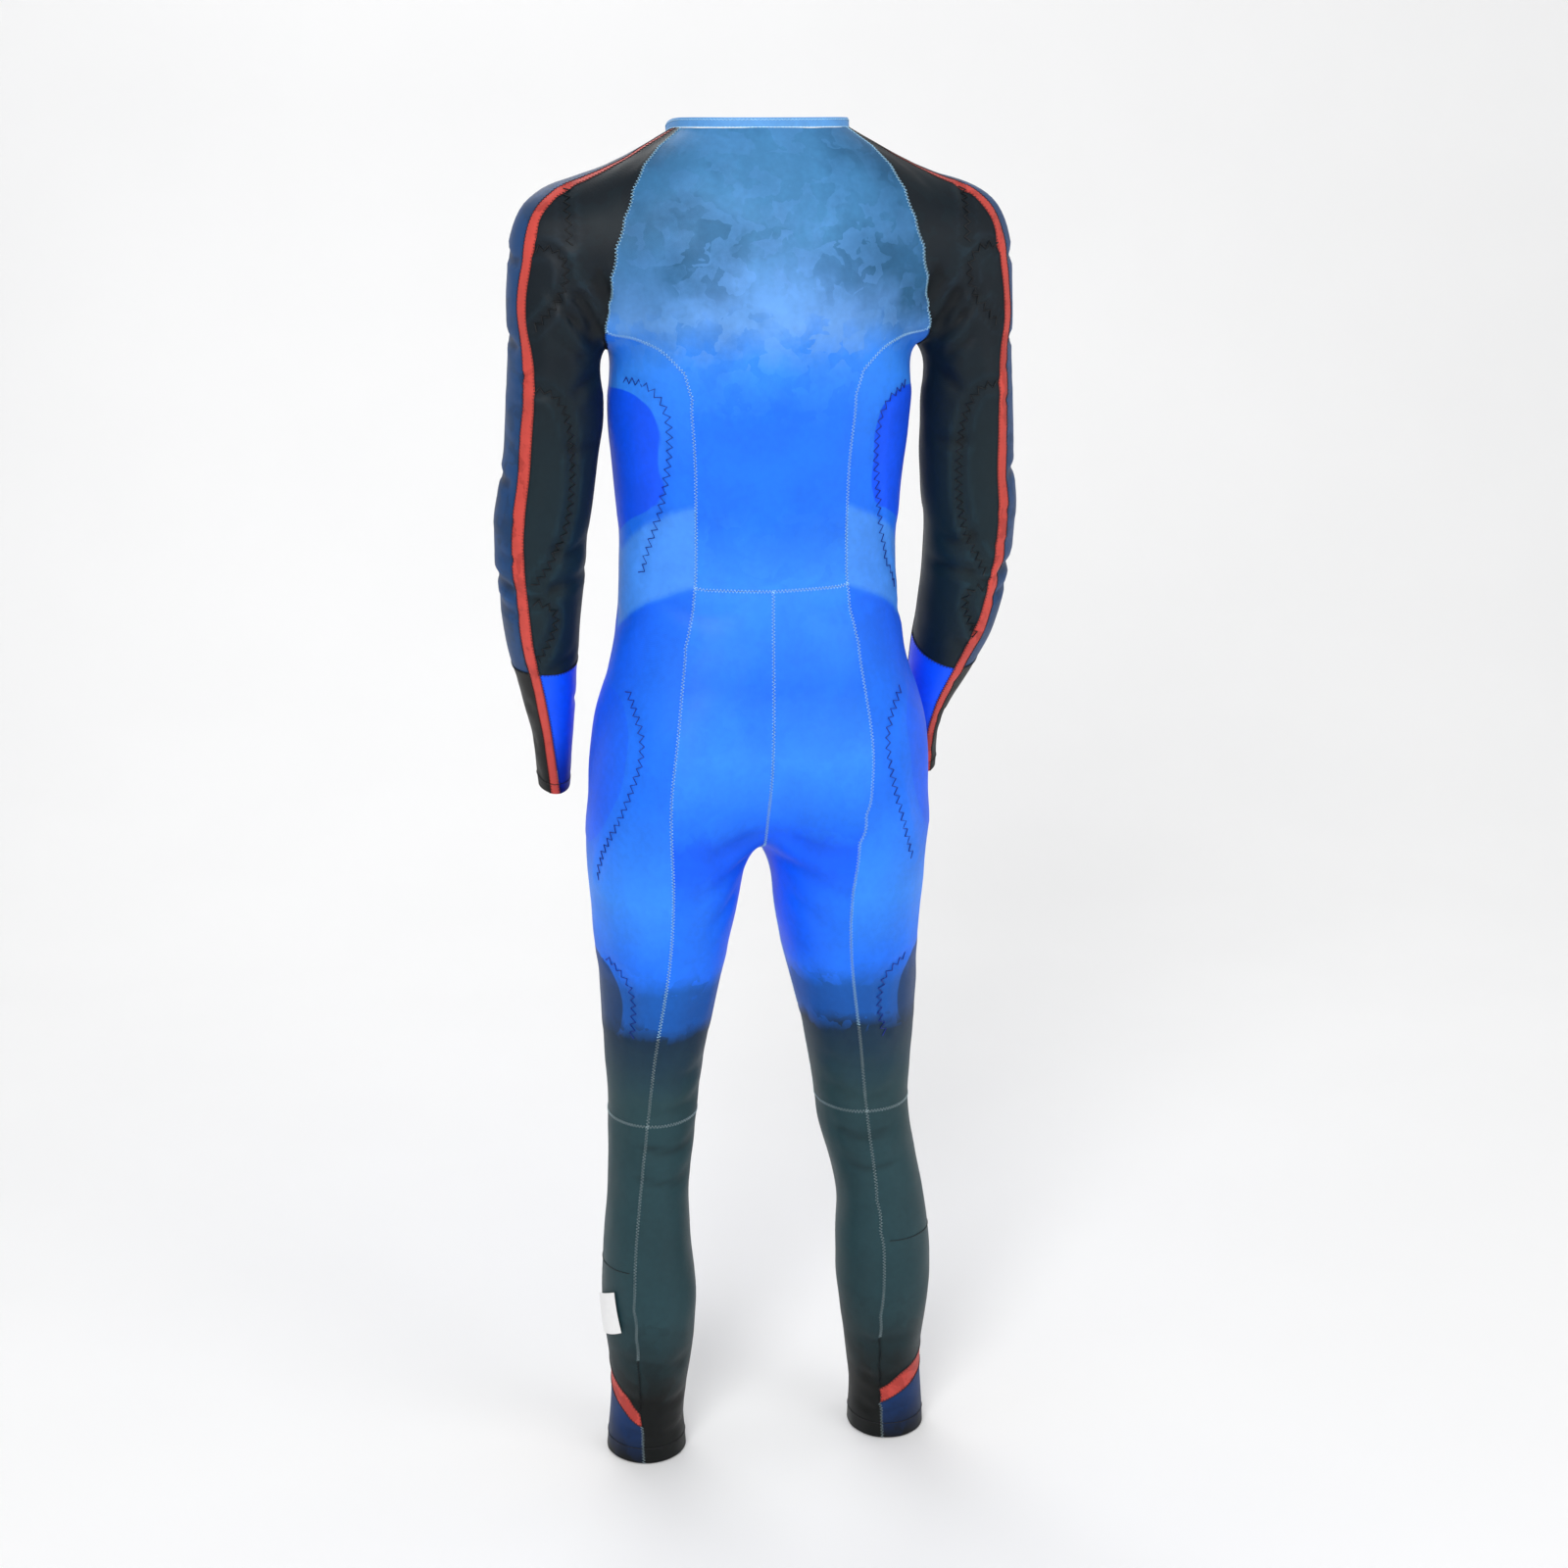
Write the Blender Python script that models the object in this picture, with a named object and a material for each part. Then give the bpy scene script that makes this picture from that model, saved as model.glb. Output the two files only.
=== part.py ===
"""Ski race suit, filled out as if worn: one closed cloth wall for each cut piece, and a front zip.

Metres, +Z up. The origin is the middle of the neck opening, where the wearer holds the suit. The wearer's
front faces -Y and the wearer's left is +X. A smooth form is worked out from the section tables below. Each
piece of cloth is a grid of points between its seams on that form, given a wall and cut clear of its
neighbours.
"""

import math
from collections import namedtuple

import bmesh
import bpy
import numpy as np
from mathutils import Matrix

CLOTH = 0.0012
SEAM_GAP = 0.0004

UNDERARM = -0.205
UNDERARM_BLEND = 0.045
FADE = 5
CROTCH_FLOOR = -0.704
CROTCH_BLEND = 0.020
HIP_BLEND = 0.040
HEM_HEIGHT = -1.400

ROWS_BETWEEN = 4
NORMAL_STEP = 0.003
LEAST_BEND = 0.5
RAY_STEP = 0.004
RAY_STEPS = 90
BISECTIONS = 26
EVENING_ROUNDS = 14
FRONT_ROUNDS = 4
LEFT, RIGHT = 1, -1

Ring = namedtuple("Ring", "height side fore half_width half_depth")

# Sections of the body, from above the neck opening to below the seat.
TORSO = (
    Ring(0.030, 0.000, -0.012, 0.070, 0.058),
    Ring(0.000, 0.000, -0.010, 0.080, 0.064),
    Ring(-0.025, 0.000, -0.006, 0.122, 0.078),
    Ring(-0.050, 0.000, -0.004, 0.158, 0.090),
    Ring(-0.090, 0.000, -0.002, 0.172, 0.104),
    Ring(-0.150, 0.000, -0.002, 0.168, 0.116),
    Ring(-0.210, 0.001, -0.006, 0.150, 0.119),
    Ring(-0.270, 0.002, -0.012, 0.149, 0.113),
    Ring(-0.340, 0.003, -0.016, 0.143, 0.104),
    Ring(-0.400, 0.003, -0.018, 0.141, 0.099),
    Ring(-0.470, 0.003, -0.014, 0.144, 0.099),
    Ring(-0.530, 0.003, -0.008, 0.152, 0.104),
    Ring(-0.590, 0.003, -0.004, 0.160, 0.108),
    Ring(-0.640, 0.003, -0.004, 0.160, 0.102),
    Ring(-0.690, 0.004, -0.004, 0.130, 0.070),
)

# Sections of each leg, from inside the hip to below the hem. The knee is near -1.00.
LEFT_LEG = (
    Ring(-0.610, 0.082, 0.004, 0.078, 0.100),
    Ring(-0.680, 0.094, 0.004, 0.084, 0.104),
    Ring(-0.725, 0.101, 0.003, 0.083, 0.098),
    Ring(-0.800, 0.106, 0.000, 0.074, 0.088),
    Ring(-0.880, 0.110, -0.004, 0.060, 0.076),
    Ring(-0.960, 0.116, -0.006, 0.051, 0.065),
    Ring(-1.030, 0.120, -0.002, 0.047, 0.058),
    Ring(-1.105, 0.126, 0.010, 0.043, 0.054),
    Ring(-1.160, 0.128, 0.016, 0.048, 0.057),
    Ring(-1.220, 0.127, 0.018, 0.052, 0.058),
    Ring(-1.300, 0.127, 0.014, 0.044, 0.050),
    Ring(-1.350, 0.130, 0.010, 0.040, 0.046),
    Ring(-1.430, 0.132, 0.008, 0.046, 0.052),
)
RIGHT_LEG = (
    Ring(-0.610, -0.074, 0.004, 0.080, 0.100),
    Ring(-0.680, -0.084, 0.004, 0.084, 0.104),
    Ring(-0.725, -0.088, 0.002, 0.083, 0.098),
    Ring(-0.800, -0.090, -0.004, 0.077, 0.088),
    Ring(-0.880, -0.098, -0.012, 0.065, 0.076),
    Ring(-0.960, -0.106, -0.018, 0.055, 0.065),
    Ring(-1.030, -0.109, -0.014, 0.050, 0.058),
    Ring(-1.105, -0.125, -0.006, 0.046, 0.054),
    Ring(-1.160, -0.129, 0.000, 0.051, 0.057),
    Ring(-1.220, -0.131, 0.002, 0.052, 0.058),
    Ring(-1.300, -0.132, -0.004, 0.042, 0.050),
    Ring(-1.350, -0.136, -0.008, 0.040, 0.046),
    Ring(-1.430, -0.137, -0.010, 0.044, 0.052),
)

# Sections of each arm, from the shoulder to below the cuff. The forearm hangs forward of the hip.
LEFT_ARM = (
    Ring(-0.113, 0.186, 0.000, 0.061, 0.064),
    Ring(-0.200, 0.203, 0.000, 0.047, 0.060),
    Ring(-0.270, 0.206, -0.002, 0.046, 0.056),
    Ring(-0.330, 0.213, -0.006, 0.044, 0.054),
    Ring(-0.380, 0.220, -0.012, 0.047, 0.055),
    Ring(-0.440, 0.222, -0.022, 0.045, 0.054),
    Ring(-0.500, 0.221, -0.034, 0.038, 0.049),
    Ring(-0.560, 0.217, -0.048, 0.030, 0.042),
    Ring(-0.615, 0.213, -0.060, 0.020, 0.034),
    Ring(-0.690, 0.211, -0.076, 0.016, 0.031),
)
RIGHT_ARM = (
    Ring(-0.113, -0.186, 0.000, 0.061, 0.064),
    Ring(-0.200, -0.204, 0.000, 0.046, 0.060),
    Ring(-0.270, -0.208, -0.004, 0.044, 0.056),
    Ring(-0.330, -0.211, -0.012, 0.046, 0.054),
    Ring(-0.380, -0.216, -0.022, 0.047, 0.055),
    Ring(-0.440, -0.216, -0.036, 0.045, 0.054),
    Ring(-0.500, -0.210, -0.054, 0.042, 0.049),
    Ring(-0.560, -0.196, -0.076, 0.032, 0.042),
    Ring(-0.615, -0.186, -0.096, 0.018, 0.034),
    Ring(-0.690, -0.190, -0.112, 0.012, 0.030),
)

Level = namedtuple("Level", "height side fore")

# The middle line of half the body above the legs, and of a sleeve above the arm. Side is from the centre.
HALF_BODY = (
    Level(0.020, 0.004, -0.008),
    Level(-0.150, 0.012, -0.006),
    Level(-0.300, 0.030, -0.010),
    Level(-0.450, 0.060, -0.008),
    Level(-0.600, 0.084, 0.000),
    Level(-0.680, 0.092, 0.002),
)
SHOULDER = (
    Level(-0.062, 0.070, -0.006),
    Level(-0.086, 0.125, -0.002),
    Level(-0.112, 0.168, 0.000),
    Level(-0.155, 0.190, 0.000),
)

# Below these heights the middle lines follow the leg's and the arm's own sections.
LEG_TOP = -0.724
ARM_TOP = -0.199
# The middle line of the back panel, down from the neck.
BACK_LINE = ((0.0, -0.006, 0.02), (0.0, -0.010, -0.30), (0.0, -0.010, -0.50))

SeamPoint = namedtuple("SeamPoint", "height side")
ArmPoint = namedtuple("ArmPoint", "along angle")

# Seams of the body, as height and distance from the centre, the same on both sides.
BACK_SEAM = (
    SeamPoint(-0.197, 0.135),
    SeamPoint(-0.204, 0.106),
    SeamPoint(-0.221, 0.089),
    SeamPoint(-0.243, 0.080),
    SeamPoint(-0.280, 0.0755),
    SeamPoint(-0.330, 0.073),
    SeamPoint(-0.385, 0.0725),
    SeamPoint(-0.443, 0.0735),
    SeamPoint(-0.485, 0.081),
    SeamPoint(-0.530, 0.088),
    SeamPoint(-0.575, 0.093),
    SeamPoint(-0.625, 0.099),
    SeamPoint(-0.670, 0.097),
    SeamPoint(-0.710, 0.092),
    SeamPoint(-0.750, 0.089),
    SeamPoint(-0.790, 0.089),
    SeamPoint(-0.840, 0.093),
    SeamPoint(-0.880, 0.099),
    SeamPoint(-0.930, 0.107),
    SeamPoint(-1.012, 0.116),
)
FRONT_SEAM = (
    SeamPoint(-0.200, 0.138),
    SeamPoint(-0.210, 0.112),
    SeamPoint(-0.232, 0.095),
    SeamPoint(-0.270, 0.084),
    SeamPoint(-0.340, 0.078),
    SeamPoint(-0.443, 0.079),
    SeamPoint(-0.530, 0.092),
    SeamPoint(-0.625, 0.108),
    SeamPoint(-0.710, 0.112),
    SeamPoint(-0.790, 0.112),
    SeamPoint(-0.880, 0.114),
    SeamPoint(-1.012, 0.120),
)
CALF_BACK_SEAM = (
    SeamPoint(-1.012, 0.116),
    SeamPoint(-1.060, 0.122),
    SeamPoint(-1.110, 0.128),
    SeamPoint(-1.165, 0.1335),
    SeamPoint(-1.210, 0.134),
    SeamPoint(-1.260, 0.131),
    SeamPoint(-1.330, 0.131),
    SeamPoint(-1.400, 0.131),
)
CALF_FRONT_SEAM = (
    SeamPoint(-1.012, 0.120),
    SeamPoint(-1.110, 0.126),
    SeamPoint(-1.210, 0.130),
    SeamPoint(-1.400, 0.134),
)
# The legs are turned a little towards the wearer's left, and their seams with them.
SEAM_TURN = (
    SeamPoint(-0.600, 0.000),
    SeamPoint(-0.700, 0.010),
    SeamPoint(-0.780, 0.013),
    SeamPoint(-1.280, 0.013),
    SeamPoint(-1.400, 0.007),
)
# The centre seams lean the same way between the waist and the crotch.
CENTRE_SEAM = (
    SeamPoint(-0.443, 0.000),
    SeamPoint(-0.600, 0.003),
    SeamPoint(-0.714, 0.0066),
)

# Seams of a sleeve, as distance along its middle line and angle round it. 0 is outer, 90 is back.
RAGLAN_BACK = (
    ArmPoint(0.019, 32),
    ArmPoint(0.053, 62),
    ArmPoint(0.077, 85),
    ArmPoint(0.104, 103),
    ArmPoint(0.148, 119),
    ArmPoint(0.193, 129),
)
RAGLAN_FRONT = (
    ArmPoint(0.019, -40),
    ArmPoint(0.053, -66),
    ArmPoint(0.077, -86),
    ArmPoint(0.104, -103),
    ArmPoint(0.148, -119),
    ArmPoint(0.193, -129),
)
UNDERARM_SEAM = (
    ArmPoint(0.235, 184),
    ArmPoint(0.270, 187),
    ArmPoint(0.700, 190),
)
STRIPE = (
    ArmPoint(0.018, 12),
    ArmPoint(0.055, 19),
    ArmPoint(0.090, 24),
    ArmPoint(0.110, 31),
    ArmPoint(0.128, 41),
    ArmPoint(0.160, 42),
    ArmPoint(0.195, 47),
    ArmPoint(0.220, 57),
    ArmPoint(0.250, 61),
    ArmPoint(0.330, 60),
    ArmPoint(0.430, 63),
    ArmPoint(0.485, 67),
    ArmPoint(0.540, 71),
    ArmPoint(0.575, 77),
    ArmPoint(0.620, 80),
    ArmPoint(0.665, 87),
    ArmPoint(0.700, 94),
)
STRIPE_HALF = 0.0043
CUFF_ALONG = {LEFT: 0.685, RIGHT: 0.697}
WRIST_ALONG = {LEFT: 0.540, RIGHT: 0.550}
WRIST_RISE = 0.016

WAIST = -0.443
KNEE = -1.012
HIP_PIVOT = -0.600
CROTCH_DEPTH = 0.114
# How far forward the middle of the body and of the neck lie, and where round the neck the zip starts.
MIDDLE_FORE = -0.004
NECK_FORE = -0.006
ZIP_TURN = -82.0
# The angle of the inner leg seam, below the crotch.
SeamAngle = namedtuple("SeamAngle", "height angle")
INSEAM = (SeamAngle(-0.745, 180), SeamAngle(-0.850, 186))
CALF_STOPS_BACK = (-1.345, -1.360)
CALF_STOPS_FRONT = (-1.262, -1.276)
ZIP_POINT = 0.0006
ARMHOLE_SIDE = 0.153
ARMHOLE_TOP = -0.170
ARMHOLE_STEPS = 24
ZIP_HALF = 0.0135
ZIP_END = -0.560

# The neck opening: its angles are round the neck, 0 to the side and 90 to the back.
NECK_BACK = -0.004
NECK_DROP = 0.056
NECK_RAGLAN_BACK = 14.0
NECK_STRIPE_BACK = 10.9
NECK_STRIPE_FRONT = 4.7
NECK_RAGLAN_FRONT = -32.0

RAGLAN_ROWS = 8
BODICE_ROWS = 12
SEAT_ROWS = 10
THIGH_ROWS = 10
ARMHOLE_ROWS = 4
ARM_ROWS_DOWN = 12
WRIST_ROWS = 5
CALF_ROWS = 10
ANKLE_ROWS = 3
SEAT_COLUMNS = 6
SIDE_COLUMNS = 8
FRONT_COLUMNS = 6
SLEEVE_BACK_COLUMNS = 5
SLEEVE_FRONT_COLUMNS = 7

Pad = namedtuple("Pad", "side fore height half_side half_fore half_height rise")

# Pads under the cloth, by their middle and reach, the same on both sides.
PADS = (
    Pad(0.148, 0.015, -0.318, 0.045, 0.055, 0.078, 0.004),
    Pad(0.170, 0.000, -0.640, 0.050, 0.065, 0.090, 0.003),
    Pad(0.170, -0.005, -0.915, 0.050, 0.045, 0.050, 0.0025),
    Pad(0.235, 0.020, -0.090, 0.050, 0.055, 0.034, 0.003),
    Pad(0.250, 0.020, -0.165, 0.035, 0.050, 0.038, 0.003),
    Pad(0.250, 0.015, -0.275, 0.040, 0.050, 0.062, 0.003),
    Pad(0.262, 0.005, -0.400, 0.040, 0.055, 0.052, 0.003),
    Pad(0.255, -0.020, -0.500, 0.040, 0.050, 0.042, 0.0025),
)
# Where a pad's slope ends and how long it is, as shares of the pad's reach.
PAD_END = 1.15
PAD_SLOPE = 0.35

# The collar's rows, above the neckline and leaning in from it.
CollarRow = namedtuple("CollarRow", "rise lean")
COLLAR = (CollarRow(0.0000, 0.0000), CollarRow(0.0050, 0.0006), CollarRow(0.0095, 0.0012))

# The zip tape's columns, as a share of its half width, and how high each stands over the cloth.
ZipColumn = namedtuple("ZipColumn", "share rise")
ZIP_COLUMNS = (
    ZipColumn(1.00, 0.0000),
    ZipColumn(0.22, 0.0000),
    ZipColumn(0.19, 0.0012),
    ZipColumn(-0.19, 0.0012),
    ZipColumn(-0.22, 0.0000),
    ZipColumn(-1.00, 0.0000),
)
SLIDER_ROW = 2

# The slider's face, its bridge seen from the side, and the pull tab, in metres from the slider's middle.
Corner = namedtuple("Corner", "across up")
SLIDER_FACE = (
    Corner(-0.0030, 0.0050), Corner(0.0030, 0.0050), Corner(0.0040, 0.0040), Corner(0.0036, -0.0040),
    Corner(0.0026, -0.0050), Corner(-0.0026, -0.0050), Corner(-0.0036, -0.0040), Corner(-0.0040, 0.0040),
)
SLIDER_LIFT = 0.0015
SLIDER_THICK = 0.0020
BridgeCorner = namedtuple("BridgeCorner", "up out")
BRIDGE = (
    BridgeCorner(-0.0035, -0.0005), BridgeCorner(-0.0035, 0.0028), BridgeCorner(-0.0027, 0.0036),
    BridgeCorner(0.0027, 0.0036), BridgeCorner(0.0035, 0.0028), BridgeCorner(0.0035, -0.0005),
    BridgeCorner(0.0019, -0.0005), BridgeCorner(0.0019, 0.0026), BridgeCorner(-0.0019, 0.0026),
    BridgeCorner(-0.0019, -0.0005),
)
BRIDGE_HALF = 0.0011
PIN_OUT = 0.0013
TAB_THICK = 0.0012
TAB_HOLE_HALF = 0.0015
TabRow = namedtuple("TabRow", "up half open_below")
TAB = (
    TabRow(0.0006, 0.0030, False),
    TabRow(-0.0006, 0.0030, True),
    TabRow(-0.0048, 0.0030, False),
    TabRow(-0.0080, 0.0034, False),
    TabRow(-0.0210, 0.0038, False),
    TabRow(-0.0235, 0.0032, False),
    TabRow(-0.0245, 0.0022, False),
)

# The label's corners on the left calf, back top, front top, back bottom and front bottom.
LabelCorner = namedtuple("LabelCorner", "side fore height")
LABEL = (
    LabelCorner(0.167, 0.056, -1.197), LabelCorner(0.179, 0.014, -1.216),
    LabelCorner(0.160, 0.060, -1.242), LabelCorner(0.175, 0.017, -1.261),
)
LABEL_STEPS = 5
LABEL_LIFT = 0.0004
LABEL_THICK = 0.0005

SLEEVE_PIECES = ("sleeve_back", "sleeve_front", "stripe", "wrist_wedge", "cuff")
COLOURS = {
    "back": (0.07, 0.28, 0.55),
    "seat": (0.05, 0.18, 0.50),
    "side": (0.03, 0.11, 0.36),
    "front": (0.04, 0.15, 0.42),
    "calf_inner": (0.02, 0.04, 0.06),
    "calf_outer": (0.02, 0.05, 0.07),
    "ankle_stripe": (0.75, 0.08, 0.07),
    "ankle_patch": (0.01, 0.02, 0.07),
    "sleeve_back": (0.012, 0.014, 0.018),
    "sleeve_front": (0.02, 0.05, 0.11),
    "stripe": (0.75, 0.08, 0.07),
    "wrist_wedge": (0.02, 0.10, 0.42),
    "cuff": (0.012, 0.014, 0.018),
    "collar": (0.10, 0.30, 0.52),
    "zip_tape": (0.02, 0.05, 0.11),
    "metal": (0.55, 0.57, 0.60),
    "label": (0.80, 0.80, 0.80),
}


def between_rows(rows, steps=ROWS_BETWEEN):
    """A table's rows with more rows between them, on a smooth curve through each column."""
    table = np.array(rows, float)
    padded = np.vstack([2 * table[0] - table[1], table, 2 * table[-1] - table[-2]])
    fine = []
    for i in range(len(table) - 1):
        before, start, end, after = padded[i : i + 4]
        for step in range(steps):
            w = step / steps
            curve = 2 * start + (end - before) * w
            curve = curve + (2 * before - 5 * start + 4 * end - after) * w**2
            curve = curve + (3 * start - before - 3 * end + after) * w**3
            fine.append(curve / 2)
    fine.append(table[-1])
    return np.array(fine)


TORSO_ROWS = between_rows(TORSO)
LEG_ROWS = {LEFT: between_rows(LEFT_LEG), RIGHT: between_rows(RIGHT_LEG)}
ARM_ROWS = {LEFT: between_rows(LEFT_ARM), RIGHT: between_rows(RIGHT_ARM)}


def torso_distance(points, roundness=2.25):
    """How far each point is outside the body's level sections."""
    up = -points[:, 2]
    side, fore, width, depth = (
        np.interp(up, -TORSO_ROWS[:, 0], TORSO_ROWS[:, column]) for column in (1, 2, 3, 4)
    )
    x = points[:, 0] - side
    y = points[:, 1] - fore
    ratio = (np.abs(x / width) ** roundness + np.abs(y / depth) ** roundness) ** (1 / roundness)
    ratio = np.maximum(ratio, 1e-3)
    return np.maximum(np.hypot(x, y) * (1 - 1 / ratio), CROTCH_FLOOR - points[:, 2])


def limb_distance(points, rows):
    """How far each point is outside an arm or a leg, a chain of tapered lengths with oval sections."""
    centre = rows[:, [1, 2, 0]]
    start, run = centre[:-1], np.diff(centre, axis=0)
    along = np.einsum("pki,ki->pk", points[:, None] - start, run) / (run**2).sum(1)
    along = np.clip(along, 0, 1)
    off = points[:, None] - (start + along[..., None] * run)
    width = rows[:-1, 3] + along * np.diff(rows[:, 3])
    depth = rows[:-1, 4] + along * np.diff(rows[:, 4])
    half = np.stack([width, depth, width], -1)
    ratio = np.linalg.norm(off / half, axis=-1)
    slope = np.maximum(np.linalg.norm(off / half**2, axis=-1), 1e-6)
    return (ratio * (ratio - 1) / slope).min(1)


def blended(first, second, reach):
    """The nearer of two distances, rounded off where they are within reach of each other."""
    overlap = np.maximum(reach - np.abs(first - second), 0) / reach
    return np.minimum(first, second) - overlap**2 * reach / 4


def body_distance(points):
    """How far each point is outside the body and legs."""
    left, right = (limb_distance(points, LEG_ROWS[side]) for side in (LEFT, RIGHT))
    return blended(torso_distance(points), blended(left, right, CROTCH_BLEND), HIP_BLEND)


def body_form(points):
    """The form under the body and leg pieces: below the underarm the arms have no part in it."""
    points = np.asarray(points, float)
    drop = FADE * np.maximum(UNDERARM - points[:, 2], 0)
    form = body_distance(points)
    for side in (LEFT, RIGHT):
        form = blended(form, limb_distance(points, ARM_ROWS[side]) + drop, UNDERARM_BLEND)
    return form


def sleeve_form(points):
    """The form under the sleeves: below the underarm the body has no part in it."""
    points = np.asarray(points, float)
    drop = FADE * np.maximum(UNDERARM - points[:, 2], 0)
    form = body_distance(points) + drop
    arms = np.minimum(
        limb_distance(points, ARM_ROWS[LEFT]), limb_distance(points, ARM_ROWS[RIGHT])
    )
    return blended(form, arms, UNDERARM_BLEND)


def cast(form, starts, directions):
    """Where rays from inside the form first leave it."""
    reach = np.arange(1, RAY_STEPS + 1) * RAY_STEP
    near = np.zeros(len(starts))
    far = np.full(len(starts), reach[-1])
    open_rays = np.ones(len(starts), bool)
    for distance in reach:
        live = np.flatnonzero(open_rays)
        if not len(live):
            break
        outside = form(starts[live] + directions[live] * distance) > 0
        far[live[outside]] = distance
        near[live[~outside]] = distance
        open_rays[live[outside]] = False
    for _ in range(BISECTIONS):
        middle = (near + far) / 2
        outside = form(starts + directions * middle[:, None]) > 0
        far = np.where(outside, middle, far)
        near = np.where(outside, near, middle)
    return starts + directions * far[:, None]


def outward(form, points, step=0.0005):
    """Each point's unit direction out of the form."""
    slope = np.empty_like(points)
    for axis in range(3):
        move = np.zeros(3)
        move[axis] = step
        slope[:, axis] = form(points + move) - form(points - move)
    return slope / np.maximum(np.linalg.norm(slope, axis=1, keepdims=True), 1e-9)


class Core:
    """A line through the middle of the form, and the rays square to it that find its surface."""

    def __init__(self, line, side, form):
        self.line = np.array(line, float)
        self.side = side
        self.form = form
        lengths = np.linalg.norm(np.diff(self.line, axis=0), axis=1)
        self.marks = np.concatenate([[0], np.cumsum(lengths)])
        self.runs = np.gradient(self.line, self.marks, axis=0)

    def frame(self, along):
        """The point at this distance along the line, its outer side and its back."""
        point, run = (
            np.stack([np.interp(along, self.marks, part[:, axis]) for axis in range(3)], -1)
            for part in (self.line, self.runs)
        )
        run /= np.linalg.norm(run, axis=1, keepdims=True)
        back = np.array([0.0, 1.0, 0.0]) - run[:, 1:2] * run
        back /= np.linalg.norm(back, axis=1, keepdims=True)
        return point, self.side * np.cross(run, back), back

    def locate(self, points, facing, steps=1500):
        """Each point's distance along the line and its angle round it, in degrees near the facing one."""
        along = np.linspace(0, self.marks[-1], steps)
        middle, outer, back = self.frame(along)
        near = np.array([np.linalg.norm(middle - point, axis=1).argmin() for point in points])
        off = points - middle[near]
        angle = np.degrees(np.arctan2((off * back[near]).sum(1), (off * outer[near]).sum(1)))
        return along[near], facing + (angle - facing + 180) % 360 - 180

    def surface(self, along, angle):
        """Points of the form at distances along the line and angles round it. 0 is outer, 90 is back."""
        point, outer, back = self.frame(np.asarray(along, float))
        turn = np.radians(angle)[:, None]
        return cast(self.form, point, np.cos(turn) * outer + np.sin(turn) * back)


def body_line(side):
    """The middle of one half of the body, from the neck to below the hem."""
    leg = LEG_ROWS[side]
    top = [(side * out, fore, height) for height, out, fore in HALF_BODY]
    return np.vstack([top, leg[leg[:, 0] < LEG_TOP][:, [1, 2, 0]]])


def arm_line(side):
    """The middle of one sleeve, from beside the neck over the shoulder to below the cuff."""
    arm = ARM_ROWS[side]
    top = [(side * out, fore, height) for height, out, fore in SHOULDER]
    return between_rows(np.vstack([top, arm[arm[:, 0] < ARM_TOP][::ROWS_BETWEEN, [1, 2, 0]]]), 3)


BODY_CORE = {side: Core(body_line(side), side, body_form) for side in (LEFT, RIGHT)}
ARM_CORE = {side: Core(arm_line(side), side, sleeve_form) for side in (LEFT, RIGHT)}
BACK_CORE = Core(BACK_LINE, LEFT, body_form)


def snapped(form, points, rounds=4):
    """Points moved straight onto the form."""
    for _ in range(rounds):
        points = points - outward(form, points) * form(points)[:, None]
    return points


def spaced(form, points, count):
    """This many equal steps along a seam, kept on the form, with both ends as they were."""
    marks = np.concatenate([[0], np.cumsum(np.linalg.norm(np.diff(points, axis=0), axis=1))])
    at = np.linspace(0, marks[-1], count + 1)
    even = np.stack([np.interp(at, marks, points[:, axis]) for axis in range(3)], -1)
    even[1:-1] = snapped(form, even[1:-1])
    return even


def table_at(table, heights):
    """A table's side at these heights."""
    rows = np.array(table)
    return np.interp(-np.asarray(heights), -rows[:, 0], rows[:, 1])


def body_seam(side, table, facing, top, bottom, steps=60):
    """A seam of the body between two heights, seen from the back (facing 1) or from the front (-1)."""
    rows = between_rows(table, 6)
    heights = np.linspace(top, bottom, steps)
    out = side * np.interp(-heights, -rows[:, 0], rows[:, 1]) + table_at(SEAM_TURN, heights)
    starts = np.stack([out, np.full(steps, MIDDLE_FORE), heights], -1)
    return cast(body_form, starts, np.tile([0.0, float(facing), 0.0], (steps, 1)))


def yoke_seam(side, facing, table, corner):
    """A seam from the underarm corner to the waist, where it first runs level towards the centre."""
    rows = between_rows(table, 6)
    rows = rows[rows[:, 0] > WAIST]
    rows = np.vstack([rows, [WAIST, table_at(table, [WAIST])[0]]])
    starts = np.stack([side * rows[:, 1], np.full(len(rows), MIDDLE_FORE), rows[:, 0]], -1)
    found = cast(body_form, starts, np.tile([0.0, float(facing), 0.0], (len(rows), 1)))
    return np.vstack([corner, found])


def arm_seam(side, table, bottom=None):
    """A seam of a sleeve, from its table down to the given distance along the arm."""
    rows = between_rows(table, 6)
    if bottom is not None:
        end = np.interp(bottom, rows[:, 0], rows[:, 1])
        rows = np.vstack([rows[rows[:, 0] < bottom], [bottom, end]])
    return ARM_CORE[side].surface(rows[:, 0], rows[:, 1])


def neck_height(angle):
    """The height of the neckline at an angle round it: level at the back, dropping at the front."""
    return NECK_BACK - NECK_DROP * ((1 - np.sin(np.radians(angle))) / 2) ** 5


def neck_points(angles, side):
    """Points of the neckline on one side."""
    angles = np.asarray(angles, float)
    starts = np.stack([0 * angles, 0 * angles + NECK_FORE, neck_height(angles)], -1)
    turn = np.radians(angles)
    ways = np.stack([side * np.cos(turn), np.sin(turn), 0 * turn], -1)
    return cast(body_form, starts, ways)


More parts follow.
